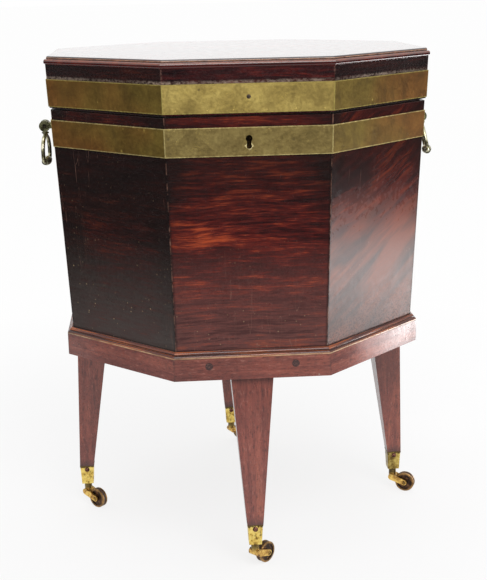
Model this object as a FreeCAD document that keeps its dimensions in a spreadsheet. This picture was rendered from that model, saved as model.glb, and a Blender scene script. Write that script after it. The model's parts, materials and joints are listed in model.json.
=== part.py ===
import FreeCAD, Part
import math
import os
import re

import Sketcher
from FreeCAD import Placement, Rotation, Vector

# Octagonal brass-bound mahogany cellarette on a castored stand. Millimetres, +Z up, the lock faces -Y.
# The origin lies on the floor, under the axis of the octagon.
# A "radius" of an eight-sided piece is the distance from that axis to the middle of one of its faces.

SIDES = 8
TURN = 360 / SIDES

# Every size of the object that can be chosen by itself.
DRIVING = {
    # castors
    "wheel_diameter": 28.0,
    "wheel_rim_thickness": 2.1,
    "tread_width": 4.4,
    "tread_inset": 0.5,
    "tread_fit": 0.1,
    "wheel_chamfer": 0.5,
    "wheel_core": 3.5,
    "wheel_dish": 0.8,
    "wheel_ring": 3.8,
    "hub_diameter": 8.0,
    "hub_rise": 0.6,
    "axle_diameter": 4.0,
    "axle_play": 0.05,
    "rivet_diameter": 6.0,
    "rivet_height": 1.2,
    "castor_height": 34.3,
    "castor_trail": 19.5,
    "swivel_gap": 0.5,
    "stem_diameter": 6.0,
    "stem_play": 0.05,
    "stem_head_diameter": 9.0,
    "stem_head_height": 1.6,
    "stem_head_gap": 0.3,
    "boss_diameter": 10.5,
    "boss_height": 13.5,
    "horn_cheek": 2.2,
    "horn_side_gap": 1.0,
    "horn_crown_gap": 1.4,
    "horn_root": 4.6,
    "horn_root_rise": 0.2,
    "horn_eye": 4.0,
    "castor_angle_front": 43.0,
    "castor_angle_right": -26.0,
    "castor_angle_back": 25.0,
    "castor_angle_left": -42.0,
    # castor cups
    "socket_height": 28.0,
    "socket_top_width": 19.4,
    "socket_foot_width": 16.4,
    "socket_wall": 1.3,
    "socket_floor": 3.0,
    "socket_lip": 0.5,
    "socket_lip_height": 1.8,
    "spigot_gap": 5.0,
    "castor_screw_diameter": 3.0,
    "castor_screw_length": 7.0,
    "castor_screw_head": 6.8,
    "castor_screw_sink": 0.8,
    "castor_screw_rise": 0.35,
    "castor_screw_drop": 6.0,
    # legs
    "leg_length": 198.0,
    "leg_inset": 7.35,
    "leg_splay": 7.4,
    "leg_top_width": 53.4,
    "leg_foot_width": 20.8,
    "leg_top_depth": 41.8,
    "leg_foot_depth": 20.0,
    "tenon_thickness": 10.0,
    "tenon_width": 30.0,
    "tenon_height": 20.0,
    "tenon_shoulder": 4.0,
    "stump_height": 24.0,
    # stand frame
    "rail_height": 28.0,
    "rail_thickness": 24.0,
    "rim_width": 7.15,
    "rim_clearance": 0.55,
    "rim_fillet": 1.4,
    "rim_bead": 3.0,
    "rim_quirk": 0.8,
    "bearer_width": 30.0,
    "bearer_depth": 20.0,
    "bearer_offset": 54.0,
    "pellet_diameter": 9.5,
    "pellet_depth": 6.0,
    "pellet_rise": 0.2,
    "bearer_screw_diameter": 4.5,
    "bearer_screw_head": 8.5,
    "bearer_screw_head_height": 3.0,
    "bearer_screw_length": 36.0,
    # case
    "case_foot_across": 455.3,
    "case_top_across": 482.9,
    "case_height": 297.7,
    "panel_thickness": 16.0,
    "shadow_rebate": 6.0,
    "floor_thickness": 12.0,
    "floor_inset": 2.0,
    "liner_thickness": 2.0,
    "liner_fit": 0.3,
    "liner_drop": 17.9,
    # brass bands
    "band_width": 34.4,
    "band_thickness": 1.3,
    "case_band_drop": 12.6,
    "lid_band_rise": 1.7,
    "lid_screw_diameter": 3.0,
    "lid_screw_length": 12.0,
    "lid_screw_head": 5.0,
    "lid_screw_sink": 0.9,
    "lid_screw_rise": 0.4,
    "lid_screw_height": 19.0,
    # lid
    "lid_gap": 2.6,
    "lid_seat_gap": 0.3,
    "lid_overhang": 1.0,
    "lid_rail_height": 54.2,
    "lid_rail_thickness": 19.0,
    "board_thickness": 10.5,
    "nosing_projection": 1.9,
    "nosing_height": 6.2,
    "nosing_quirk": 0.8,
    "board_step": 0.5,
    "board_round": 2.2,
    # butt hinges
    "hinge_length": 45.0,
    "hinge_offset": 60.0,
    "hinge_setback": 4.5,
    "leaf_width": 16.0,
    "leaf_thickness": 1.6,
    "leaf_gap": 0.4,
    "knuckle_diameter": 7.0,
    "knuckle_gap": 0.3,
    "hinge_pin_diameter": 3.0,
    "hinge_pin_play": 0.05,
    "hinge_recess_play": 0.3,
    "hinge_screw_diameter": 3.0,
    "hinge_screw_head": 5.6,
    "hinge_screw_length": 12.0,
    "hinge_screw_spacing": 15.0,
    "hinge_screw_setback": 10.5,
    # lock
    "lock_width": 60.0,
    "lock_height": 44.0,
    "lock_depth": 10.0,
    "lock_wall": 1.5,
    "bolt_room_height": 15.5,
    "bolt_bar_height": 6.5,
    "bolt_bar_length": 38.0,
    "bolt_play": 0.15,
    "bolt_finger_thickness": 3.0,
    "bolt_finger_height": 3.6,
    "bolt_finger_length": 6.6,
    "bolt_post_width": 3.0,
    "bolt_rest_gap": 0.7,
    "talon_width": 6.0,
    "talon_height": 2.5,
    "key_rise": 20.8,
    "key_eye": 8.2,
    "key_slot_width": 5.4,
    "key_slot_drop": 9.0,
    "key_foot": 6.6,
    "key_room_diameter": 21.0,
    "key_window_width": 8.0,
    "drill_pin_diameter": 2.6,
    # link plate on the lid
    "link_length": 48.0,
    "link_width": 9.0,
    "link_thickness": 1.6,
    "staple_offset": 12.0,
    "staple_thickness": 2.0,
    "staple_width": 6.0,
    "staple_drop": 9.5,
    "staple_window_width": 4.2,
    "staple_window_height": 5.0,
    "staple_foot": 1.4,
    "staple_play": 0.5,
    # ring handles
    "rose_diameter": 26.0,
    "rose_thickness": 3.0,
    "rose_edge": 1.2,
    "shank_diameter": 6.0,
    "shank_play": 0.05,
    "post_neck_diameter": 9.0,
    "pivot_reach": 17.0,
    "knuckle_radius": 7.5,
    "cheek_thickness": 4.0,
    "cheek_play": 0.2,
    "eye_width": 8.8,
    "eye_radius": 4.75,
    "eye_base_gap": 0.65,
    "handle_pin_diameter": 4.0,
    "handle_pin_play": 0.05,
    "handle_pin_head": 5.8,
    "handle_pin_head_height": 0.7,
    "nut_width": 12.0,
    "nut_thickness": 4.2,
    "shank_end": 1.5,
    "ring_rod": 5.3,
    "ring_half_width": 21.0,
    "ring_middle": 34.0,
    "ring_corner": 9.0,
    "ring_neck": 6.4,
    "ring_collar_diameter": 9.6,
    "ring_collar_level": 8.4,
    "ring_collar_height": 2.0,
    "ring_twist": 7.5,
    "ring_right_lift": 12.0,
    "grip_level": 47.5,
    "grip_diameter": 13.0,
    "grip_length": 26.0,
    "grip_end_diameter": 9.0,
    "grip_end_width": 1.8,
    "grip_neck_diameter": 7.4,
}

# Levels, radii and slopes that follow from the sizes above.
DERIVED = {
    "corner": "tan(22.5)",
    "axle_level": "wheel_diameter / 2",
    "wheel_width": "tread_width + 2 * wheel_rim_thickness",
    "core_radius": "wheel_diameter / 2 - wheel_core",
    "horn_gap": "wheel_width + 2 * horn_side_gap",
    "horn_width": "horn_gap + 2 * horn_cheek",
    "horn_top": "castor_height - swivel_gap",
    "horn_root_level": "horn_top - boss_height + horn_root_rise",
    "horn_drop": "horn_root_level - axle_level",
    "horn_reach": "sqrt(castor_trail ^ 2 + horn_drop ^ 2)",
    "stem_head_level": "castor_height + socket_floor + stem_head_gap",
    "socket_slope": "(socket_top_width - socket_foot_width) / (2 * socket_height)",
    "leg_foot_level": "castor_height + socket_height",
    "castor_screw_level": "leg_foot_level - castor_screw_drop",
    "castor_screw_face": "socket_top_width / 2 - socket_slope * castor_screw_drop",
    "leg_top_level": "leg_foot_level + leg_length",
    "seat_level": "leg_top_level + rail_height",
    "rim_height": "rim_fillet + 2 * rim_bead + 2 * rim_quirk",
    "rim_level": "seat_level + rim_height",
    "case_top_level": "seat_level + case_height",
    "lip_level": "case_top_level + lid_gap - lid_seat_gap",
    "lid_foot_level": "case_top_level + lid_gap",
    "board_level": "lid_foot_level + lid_rail_height",
    "lid_top_level": "board_level + board_thickness",
    "case_foot_radius": "case_foot_across / 2",
    "taper": "(case_top_across - case_foot_across) / (2 * case_height)",
    "taper_angle": "atan(taper) / 1 deg",
    "case_top_radius": "case_top_across / 2",
    "rim_inner_radius": "case_foot_radius + taper * rim_height + rim_clearance",
    "stand_radius": "rim_inner_radius + rim_width",
    "rail_inner_radius": "stand_radius - rail_thickness",
    "leg_face_radius": "stand_radius - leg_inset",
    "leg_foot_face_radius": "leg_face_radius + leg_splay",
    "foot_radius": "leg_foot_face_radius - leg_foot_depth / 2",
    "tenon_radius": "leg_face_radius - tenon_shoulder",
    "stump_radius": "leg_face_radius - leg_top_depth",
    "pellet_level": "seat_level - bearer_depth / 2",
    "bearer_screw_radius": "stand_radius - pellet_depth",
    "floor_level": "seat_level + floor_inset",
    "liner_level": "floor_level + floor_thickness",
    "case_band_top": "case_top_level - case_band_drop",
    "case_band_foot": "case_band_top - band_width",
    "key_level": "case_band_foot + key_rise",
    "lid_band_foot": "lid_foot_level + lid_band_rise",
    "lid_band_top": "lid_band_foot + band_width",
    "lid_screw_level": "lid_band_foot + lid_screw_height",
    "board_radius": "case_foot_radius + taper * (board_level - seat_level) + lid_overhang",
    "nosing_radius": "board_radius + nosing_projection",
    "nosing_flat": "nosing_radius - nosing_height / 2",
    "nosing_level": "board_level + nosing_quirk",
    "nosing_top": "nosing_level + nosing_height",
    "board_step_radius": "nosing_flat - board_step",
    "hinge_level": "case_top_level + lid_gap / 2",
    "hinge_radius": "case_top_radius + hinge_setback",
    "hinge_middle": "hinge_length / 3",
    "hinge_screw_radius": "hinge_radius - hinge_screw_setback",
    "lower_leaf_level": "hinge_level - leaf_gap / 2 - leaf_thickness",
    "upper_leaf_level": "hinge_level + leaf_gap / 2",
    "lock_level": "lip_level - lock_height",
    "lock_back_radius": "case_foot_radius + taper * (lock_level - seat_level) - panel_thickness",
    "lock_front_radius": "lock_back_radius + lock_depth",
    "lock_middle_radius": "lock_back_radius + lock_depth / 2",
    "bolt_room_depth": "lock_depth - 2 * lock_wall",
    "bolt_room_top": "lip_level - lock_wall",
    "bolt_room_level": "bolt_room_top - bolt_room_height",
    "bolt_level": "bolt_room_level + bolt_play",
    "bolt_bar_top": "bolt_level + bolt_bar_height",
    "bolt_grip": "staple_thickness / 2 + bolt_rest_gap + bolt_finger_length + bolt_post_width",
    "window_level": "lid_foot_level - staple_drop + staple_foot",
    "finger_level": "window_level + (staple_window_height - bolt_finger_height) / 2",
    "handle_level": "case_band_foot + band_width / 2",
    "liner_top_level": "handle_level - liner_drop",
    "handle_radius": "case_foot_radius + taper * (handle_level - seat_level) + band_thickness",
    "wall_depth": "band_thickness + panel_thickness * cos(taper_angle)",
    "knuckle_width": "eye_width + 2 * cheek_play + 2 * cheek_thickness",
    "slot_width": "eye_width + 2 * cheek_play",
    "slot_base": "pivot_reach - eye_radius - eye_base_gap",
    "pivot_radius": "handle_radius + pivot_reach * cos(taper_angle)",
    "pivot_level": "handle_level - pivot_reach * sin(taper_angle)",
    "grip_half": "grip_length / 2 - grip_end_width",
    "grip_rise": "(grip_diameter - grip_neck_diameter) / 2",
    "grip_curve": "(grip_half ^ 2 + grip_rise ^ 2) / (2 * grip_rise)",
}

doc = FreeCAD.newDocument("cellarette")
sheet = doc.addObject("Spreadsheet::Sheet", "Sizes")
for row, (alias, size) in enumerate(DRIVING.items(), 1):
    sheet.set(f"A{row}", alias.replace("_", " "))
    sheet.set(f"B{row}", str(size))
    sheet.setAlias(f"B{row}", alias)
for row, (alias, formula) in enumerate(DERIVED.items(), len(DRIVING) + 2):
    sheet.set(f"A{row}", alias.replace("_", " "))
    sheet.set(f"B{row}", f"={formula}")
    sheet.setAlias(f"B{row}", alias)
doc.recompute()

nodes = []
cuts = []

ACROSS = Vector(1, 0, 0)
DEEP = Vector(0, 1, 0)
UP = Vector(0, 0, 1)


def bind(expression):
    """The expression with each alias pointed at the sheet."""
    names = DRIVING.keys() | DERIVED.keys()
    return re.sub(r"[a-z_]+", lambda word: f"Sizes.{word[0]}" if word[0] in names else word[0], expression)


def value(expression):
    """What an expression comes to now, for a first guess that its binding then keeps true."""
    result = sheet.evalExpression(bind(expression))
    return float(getattr(result, "Value", result))


def case_radius(level):
    """Outer radius of the tapered case at a level."""
    return f"(case_foot_radius + taper * ({level} - seat_level))"


def lid_radius(level):
    """Outer radius of the lid sides at a level: the case's own taper, a little larger all round."""
    return f"({case_radius(level)} + lid_overhang)"


# ---------------------------------------------------------------- sketches and features


def new_body(label, turn=0):
    """An empty body whose finished piece is turned about the octagon's axis by so many degrees."""
    body = doc.addObject("PartDesign::Body", label)
    body.Label = label
    body.Placement = Placement(Vector(), Rotation(UP, turn))
    return body


def keep(piece, label=None):
    """Enter a finished piece in the list of nodes."""
    if label:
        piece.Label = label
    nodes.append(piece)
    return piece


def place(piece, x="0", y="0", z="0", axis=None, angle=None):
    """Bind a piece's position, and its turn about a fixed axis, to the sheet."""
    if axis:
        piece.Placement = Placement(Vector(), Rotation(axis, value(angle)))
        piece.setExpression("Placement.Rotation.Angle", bind(angle))
    for name, expression in zip("xyz", (x, y, z)):
        piece.setExpression(f"Placement.Base.{name}", bind(expression))


def origin_feature(body, role):
    return next(feature for feature in body.Origin.OriginFeatures if feature.Role == role)


def new_sketch(body, plane, name, level, shift="0", axis=None, angle=None):
    """A sketch on an origin plane, moved along its normal by level and along its own y by shift."""
    sketch = body.newObject("Sketcher::SketchObject", f"{body.Label}_{name}")
    sketch.AttachmentSupport = [(origin_feature(body, plane), "")]
    sketch.MapMode = "FlatFace"
    if axis:
        sketch.AttachmentOffset = Placement(Vector(), Rotation(axis, value(angle)))
        sketch.setExpression("AttachmentOffset.Rotation.Angle", bind(angle))
    sketch.setExpression("AttachmentOffset.Base.z", bind(level))
    sketch.setExpression("AttachmentOffset.Base.y", bind(shift))
    return sketch


def arc_between(start, end, radius, side):
    """The shorter arc from start to end, centred on the left or the right of the way there."""
    chord = end - start
    half = chord.Length / 2
    left = Vector(-chord.y, chord.x, 0).normalize()
    reach = math.sqrt(max(radius ** 2 - half ** 2, 0))
    centre = (start + end) / 2 + left * (reach if side == "left" else -reach)
    first, last = (start, end) if side == "left" else (end, start)
    angles = [math.atan2(point.y - centre.y, point.x - centre.x) for point in (first, last)]
    return Part.ArcOfCircle(Part.Circle(centre, UP, radius), *angles)


def pin_point(sketch, element, position, x, y):
    """Fix a point of a sketch at two expressions."""
    for expression, kind, own_axis in ((x, "DistanceX", -2), (y, "DistanceY", -1)):
        if expression == "0":
            sketch.addConstraint(Sketcher.Constraint("PointOnObject", element, position, own_axis))
        else:
            distance = value(expression)
            index = sketch.addConstraint(Sketcher.Constraint(kind, -1, 1, element, position, distance))
            sketch.setExpression(f"Constraints[{index}]", bind(expression))


def draw(sketch, path):
    """Draw a closed outline. A point is (x, y), or (x, y, radius, side) where an arc leaves it."""
    points = [Vector(value(point[0]), value(point[1]), 0) for point in path]
    first = len(sketch.Geometry)
    ends = []
    for index, point in enumerate(path):
        start = points[index]
        end = points[(index + 1) % len(path)]
        if len(point) == 2:
            sketch.addGeometry(Part.LineSegment(start, end))
            ends.append((1, 2))
        else:
            radius = value(point[2])
            element = sketch.addGeometry(arc_between(start, end, radius, point[3]))
            ends.append((1, 2) if point[3] == "left" else (2, 1))
            bound = sketch.addConstraint(Sketcher.Constraint("Radius", element, radius))
            sketch.setExpression(f"Constraints[{bound}]", bind(point[2]))
    for index, point in enumerate(path):
        following = (index + 1) % len(path)
        sketch.addConstraint(Sketcher.Constraint(
            "Coincident", first + index, ends[index][1], first + following, ends[following][0]))
        pin_point(sketch, first + index, ends[index][0], point[0], point[1])
    return sketch


def outline(body, plane, name, path, level="0", **offset):
    """A sketch of one closed outline."""
    return draw(new_sketch(body, plane, name, level, **offset), path)


def rectangle(left, right, low, high):
    """The four corners of a rectangle, for an outline."""
    return [(left, low), (right, low), (right, high), (left, high)]


def discs(body, plane, name, centres, diameter, level="0", **offset):
    """A sketch of circles of one diameter."""
    sketch = new_sketch(body, plane, name, level, **offset)
    for x, y in centres:
        centre = Vector(value(x), value(y), 0)
        radius = value(diameter) / 2
        element = sketch.addGeometry(Part.Circle(centre, UP, radius))
        pin_point(sketch, element, 3, x, y)
        bound = sketch.addConstraint(Sketcher.Constraint("Diameter", element, 2 * radius))
        sketch.setExpression(f"Constraints[{bound}]", bind(diameter))
    return sketch


def pad(body, sketch, length, both_ways=False, backward=False):
    """Thicken a sketch along its normal."""
    feature = body.newObject("PartDesign::Pad", f"{sketch.Label}_pad")
    feature.Profile = sketch
    feature.setExpression("Length", bind(length))
    feature.SideType = "Symmetric" if both_ways else "One side"
    feature.Reversed = backward
    return feature


def pocket(body, sketch, length=None, backward=False):
    """Cut a sketch against its normal, or right through when it has no length."""
    feature = body.newObject("PartDesign::Pocket", f"{sketch.Label}_cut")
    feature.Profile = sketch
    if length:
        feature.setExpression("Length", bind(length))
    else:
        feature.Type = "ThroughAll"
        feature.SideType = "Symmetric"
    feature.Reversed = backward
    cuts.append(feature)
    return feature


def slot_cut(body, sketch, length):
    """Cut a sketch equally to both sides of its plane."""
    feature = pocket(body, sketch, length)
    feature.SideType = "Symmetric"
    return feature


def loft(body, name, sections, cut=False):
    """A ruled body, or a hollow, between plans at two levels."""
    kind = "PartDesign::SubtractiveLoft" if cut else "PartDesign::AdditiveLoft"
    feature = body.newObject(kind, f"{body.Label}_{name}")
    feature.Profile = sections[0]
    feature.Sections = sections[1:]
    feature.Ruled = True
    if cut:
        cuts.append(feature)
    return feature


def revolve(body, sketch, role):
    """Turn a sketch about an axis of the body, or about the sketch's own H_Axis."""
    feature = body.newObject("PartDesign::Revolution", f"{sketch.Label}_turned")
    feature.Profile = sketch
    if role == "H_Axis":
        feature.ReferenceAxis = (sketch, [role])
    else:
        feature.ReferenceAxis = (origin_feature(body, role), [""])
    feature.Angle = 360
    return feature


def group(label, members):
    """One node of separate solids, each a piece and where its copy stands."""
    links = []
    for piece, where in members:
        link = doc.addObject("App::Link", f"{piece.Name}_copy")
        link.LinkedObject = piece
        place(link, **where)
        links.append(link)
    compound = doc.addObject("Part::Compound", label)
    compound.Links = links
    return keep(compound, label)


def turned(piece, *turns):
    """Copies of a piece turned about the octagon's axis by so many degrees each."""
    return [(piece, {"axis": UP, "angle": str(turn)}) for turn in turns]


# ---------------------------------------------------------------- eight-sided work


def board_plan(body, name, level, outer, thickness):
    """Plan of one mitred board, its outer face towards -Y."""
    inner = f"({outer} - {thickness})"
    path = [
        (f"-{outer} * corner", f"-{outer}"),
        (f"{outer} * corner", f"-{outer}"),
        (f"{inner} * corner", f"-{inner}"),
        (f"-{inner} * corner", f"-{inner}"),
    ]
    return outline(body, "XY_Plane", name, path, level)


def mitred_board(label, foot, top, foot_radius, top_radius, thickness, turn=0):
    """One side of an eight-sided frame or case, mitred at both ends."""
    body = new_body(label, turn)
    sections = [
        board_plan(body, "foot", foot, foot_radius, thickness),
        board_plan(body, "top", top, top_radius, thickness),
    ]
    loft(body, "side", sections)
    return body


def octagon(body, name, level, radius):
    """Plan of a regular octagon with one flat towards -Y."""
    short = f"({radius}) * corner"
    long = f"({radius})"
    path = [
        (f"-{short}", f"-{long}"), (short, f"-{long}"), (long, f"-{short}"), (long, short),
        (short, long), (f"-{short}", long), (f"-{long}", short), (f"-{long}", f"-{short}"),
    ]
    return outline(body, "XY_Plane", name, path, level)


def octagonal_loft(body, name, foot, top, foot_radius, top_radius, cut=False):
    sections = [
        octagon(body, f"{name}_foot", foot, foot_radius),
        octagon(body, f"{name}_top", top, top_radius),
    ]
    return loft(body, name, sections, cut)


def mitred_length(body, profile, radius):
    """One side of a moulding: a profile run along -Y's face and cut off at both mitres."""
    margin = f"(2 * {radius} * corner)"
    length = pad(body, outline(body, "YZ_Plane", "profile", profile), margin, both_ways=True)
    waste = new_sketch(body, "XY_Plane", "waste", "0")
    draw(waste, [("0", "0"), (f"{radius} * corner", f"-{radius}"), (margin, f"-{radius}"), (margin, "0")])
    draw(waste, [("0", "0"), (f"-{margin}", "0"), (f"-{margin}", f"-{radius}"),
                 (f"-{radius} * corner", f"-{radius}")])
    return [length, pocket(body, waste)]


def brass_band(label, foot, top, radius):
    """A strip of brass bent round the eight sides it lies on."""
    body = new_body(label)
    outside = [f"{radius(level)} + band_thickness" for level in (foot, top)]
    octagonal_loft(body, "strip", foot, top, *outside)
    octagonal_loft(body, "inside", foot, top, radius(foot), radius(top), cut=True)
    return body


def sloping_discs(body, name, level, radius, diameter, facing):
    """A circle square to the tapered face, as a hole through it needs, towards -Y, +X or -X."""
    plane = "XZ_Plane" if facing == "-Y" else "YZ_Plane"
    outward = f"-({radius})" if facing == "-X" else radius
    lean = "-taper_angle" if facing == "-X" else "taper_angle"
    return discs(body, plane, name, [("0", "0")], diameter, outward, shift=level, axis=ACROSS, angle=lean)


# ---------------------------------------------------------------- stand


def socket_half(level):
    """Half the outer width of a castor cup at a level."""
    return f"(socket_foot_width / 2 + socket_slope * ({level} - castor_height))"


LEG_TURNS = {"front": 0, "right": 90, "back": 180, "left": 270}


def leg(name, turn):
    """A leg that tapers on every side while its outer face splays a little towards the foot. Its tenon
    enters the rail, its stump stands behind the rail, and its spigot fills the castor cup."""
    body = new_body(f"leg_{name}", turn)

    def plan(level_name, level, width, outer, depth):
        path = rectangle(f"-{width} / 2", f"{width} / 2", f"-{outer}", f"-({outer} - {depth})")
        return outline(body, "XY_Plane", level_name, path, level)

    loft(body, "shaft", [
        plan("foot", "leg_foot_level", "leg_foot_width", "leg_foot_face_radius", "leg_foot_depth"),
        plan("head", "leg_top_level", "leg_top_width", "leg_face_radius", "leg_top_depth"),
    ])

    tenon = plan("tenon", "leg_top_level", "tenon_width", "tenon_radius", "tenon_thickness")
    pad(body, tenon, "tenon_height")

    stump = rectangle("-leg_top_width / 2", "leg_top_width / 2", "-rail_inner_radius", "-stump_radius")
    pad(body, outline(body, "XY_Plane", "stump", stump, "leg_top_level"), "stump_height")

    sections = []
    for level_name, level in (("spigot_foot", "castor_height + socket_floor + spigot_gap"),
                              ("spigot_top", "leg_foot_level")):
        half = f"({socket_half(level)} - socket_wall)"
        path = rectangle(f"-{half}", half, f"-foot_radius - {half}", f"-foot_radius + {half}")
        sections.append(outline(body, "XY_Plane", level_name, path, level))
    loft(body, "spigot", sections)

    if name in ("front", "back"):
        hole = discs(body, "XZ_Plane", "screw_hole", [("0", "castor_screw_level")],
                     "castor_screw_diameter", "foot_radius")
    else:
        hole = discs(body, "YZ_Plane", "screw_hole", [("-foot_radius", "castor_screw_level")],
                     "castor_screw_diameter")
    slot_cut(body, hole, "socket_top_width")
    return keep(body)


def stand_rail(label, with_leg, with_pellets):
    """A rail of the stand, with a mortise where a leg enters and counterbores where a bearer is screwed."""
    body = mitred_board(label, "leg_top_level", "seat_level",
                        "stand_radius", "stand_radius", "rail_thickness")
    if with_leg:
        mortise = rectangle("-tenon_width / 2", "tenon_width / 2",
                            "-tenon_radius", "-(tenon_radius - tenon_thickness)")
        pocket(body, outline(body, "XY_Plane", "mortise", mortise, "leg_top_level"), "tenon_height",
               backward=True)
    if with_pellets:
        centres = [(f"{side} * bearer_offset", "pellet_level") for side in (-1, 1)]
        for name, diameter, face, depth in (
            ("counterbores", "pellet_diameter", "stand_radius", "pellet_depth"),
            ("heads", "bearer_screw_head", "bearer_screw_radius", "bearer_screw_head_height"),
            ("holes", "bearer_screw_diameter", "bearer_screw_radius", "rail_thickness"),
        ):
            pocket(body, discs(body, "XZ_Plane", name, centres, diameter, face), depth)
    return body


def rim_profile():
    """The case's rim: a square fillet below two quarter-round beads that step back towards the case."""
    first = "(seat_level + rim_fillet)"
    second = "(seat_level + rim_fillet + rim_bead + rim_quirk)"
    return [
        ("-rim_inner_radius", "seat_level"),
        ("-rim_inner_radius", "rim_level"),
        ("-stand_radius + 2 * rim_bead", "rim_level"),
        ("-stand_radius + 2 * rim_bead", f"{second} + rim_bead", "rim_bead", "left"),
        ("-stand_radius + rim_bead", second),
        ("-stand_radius + rim_bead", f"{first} + rim_bead", "rim_bead", "left"),
        ("-stand_radius", first),
        ("-stand_radius", "seat_level"),
    ]


for leg_name, leg_turn in LEG_TURNS.items():
    leg(leg_name, leg_turn)

pellet_rail = stand_rail("rail_with_pellets", True, True)
leg_rail = stand_rail("rail_with_leg", True, False)
plain_rail = stand_rail("rail_plain", False, False)
group("stand_rails", turned(pellet_rail, 0, 180) + turned(leg_rail, 90, 270)
      + turned(plain_rail, 45, 135, 225, 315))

rim = new_body("rim_length")
mitred_length(rim, rim_profile(), "stand_radius")
group("stand_moulding", turned(rim, *[TURN * side for side in range(SIDES)]))

bearer = new_body("bearer")
bearer_path = rectangle("bearer_offset - bearer_width / 2", "bearer_offset + bearer_width / 2",
                        "-rail_inner_radius", "rail_inner_radius")
pad(bearer, outline(bearer, "XY_Plane", "plan", bearer_path, "seat_level"), "bearer_depth", backward=True)
BEARER_ENDS = (("front", "bearer_screw_radius", False), ("back", "-bearer_screw_radius", True))
for end_name, end_level, outward in BEARER_ENDS:
    hole = discs(bearer, "XZ_Plane", f"{end_name}_hole", [("bearer_offset", "pellet_level")],
                 "bearer_screw_diameter", end_level)
    pocket(bearer, hole, "bearer_screw_length", backward=outward)
group("stand_bearers", turned(bearer, 0, 180))

pellet = new_body("pellet")
for way, depth in (("outward", "pellet_rise"), ("inward", "pellet_depth")):
    face = discs(pellet, "XZ_Plane", way, [("0", "pellet_level")], "pellet_diameter", "stand_radius")
    pad(pellet, face, depth, backward=way == "inward")

bearer_screw = new_body("bearer_screw")
screw_centre = [("0", "pellet_level")]
for part_name, diameter, length in (("head", "bearer_screw_head", "bearer_screw_head_height"),
                                    ("shank", "bearer_screw_diameter", "bearer_screw_length")):
    disc = discs(bearer_screw, "XZ_Plane", part_name, screw_centre, diameter, "bearer_screw_radius")
    pad(bearer_screw, disc, length, backward=True)

AT_BEARERS = [{"x": f"{side} * bearer_offset", "axis": UP, "angle": turn}
              for side in (-1, 1) for turn in ("0", "180")]
group("rail_pellets", [(pellet, where) for where in AT_BEARERS])
group("bearer_screws", [(bearer_screw, where) for where in AT_BEARERS])


# ---------------------------------------------------------------- castors


def lathe(body, plane, name, path, role):
    """A turned piece: an outline spun about one of the body's axes."""
    return revolve(body, outline(body, plane, name, path), role)


def mirrored(path):
    """A half outline followed by its own reflection across y = 0."""
    return path + [(point[0], f"-({point[1]})") for point in reversed(path)]


def castor_cup(name, x, y):
    """A square tapered cup with a collar, a floor for the castor's stem and two opposite screw holes."""
    body = new_body(f"castor_socket_{name}")

    def plan(level_name, level, half):
        return outline(body, "XY_Plane", level_name, rectangle(f"-{half}", half, f"-{half}", half), level)

    loft(body, "cup", [plan("foot", "castor_height", socket_half("castor_height")),
                       plan("top", "leg_foot_level", socket_half("leg_foot_level"))])
    collar = "(socket_top_width / 2 + socket_lip)"
    pad(body, plan("collar", "leg_foot_level", collar), "socket_lip_height", backward=True)
    hollow_level = "(castor_height + socket_floor)"
    hollow = [plan(f"hollow_{level}", level, f"({socket_half(level)} - socket_wall)")
              for level in (hollow_level, "leg_foot_level")]
    loft(body, "hollow", hollow, cut=True)
    pocket(body, discs(body, "XY_Plane", "stem_hole", [("0", "0")], "stem_diameter + 2 * stem_play",
                       hollow_level), "socket_floor")
    centre = [("0", "castor_screw_level")]
    holes = discs(body, "XZ_Plane", "screw_holes", centre, "castor_screw_diameter")
    slot_cut(body, holes, "socket_top_width")
    seat = "castor_screw_face - castor_screw_sink"
    for side_name, seat_level, outward in (("front", seat, True), ("back", f"-({seat})", False)):
        pocket(body, discs(body, "XZ_Plane", f"{side_name}_head", centre, "castor_screw_head", seat_level),
               "2 * castor_screw_sink", backward=outward)
    place(body, x, y)
    return keep(body)


def castor_horn(name, where):
    """A swivelling fork with its stem riveted over above the floor of the cup."""
    body = new_body(f"castor_horn_{name}")
    boss_foot = "horn_top - boss_height"
    pad(body, discs(body, "XY_Plane", "boss", [("0", "0")], "boss_diameter", boss_foot), "boss_height")
    pad(body, discs(body, "XY_Plane", "stem", [("0", "0")], "stem_diameter", "horn_top"),
        "stem_head_level - horn_top")
    pad(body, discs(body, "XY_Plane", "stem_head", [("0", "0")], "stem_head_diameter", "stem_head_level"),
        "stem_head_height")
    eye = [("castor_trail", "axle_level")]
    pad(body, discs(body, "XZ_Plane", "root", [("0", "horn_root_level")], "2 * horn_root"), "horn_width",
        both_ways=True)
    pad(body, discs(body, "XZ_Plane", "eye", eye, "2 * horn_eye"), "horn_width", both_ways=True)
    across = "horn_drop / horn_reach"
    along = "castor_trail / horn_reach"
    arm = [
        (f"horn_root * {across}", f"horn_root_level + horn_root * {along}"),
        (f"-horn_root * {across}", f"horn_root_level - horn_root * {along}"),
        (f"castor_trail - horn_eye * {across}", f"axle_level - horn_eye * {along}"),
        (f"castor_trail + horn_eye * {across}", f"axle_level + horn_eye * {along}"),
    ]
    pad(body, outline(body, "XZ_Plane", "arm", arm), "horn_width", both_ways=True)
    wheel_room = discs(body, "XZ_Plane", "wheel_room", eye, "wheel_diameter + 2 * horn_crown_gap")
    slot_cut(body, wheel_room, "horn_gap")
    pocket(body, discs(body, "XZ_Plane", "axle_hole", eye, "axle_diameter"))
    place(body, **where)
    return keep(body)


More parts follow.
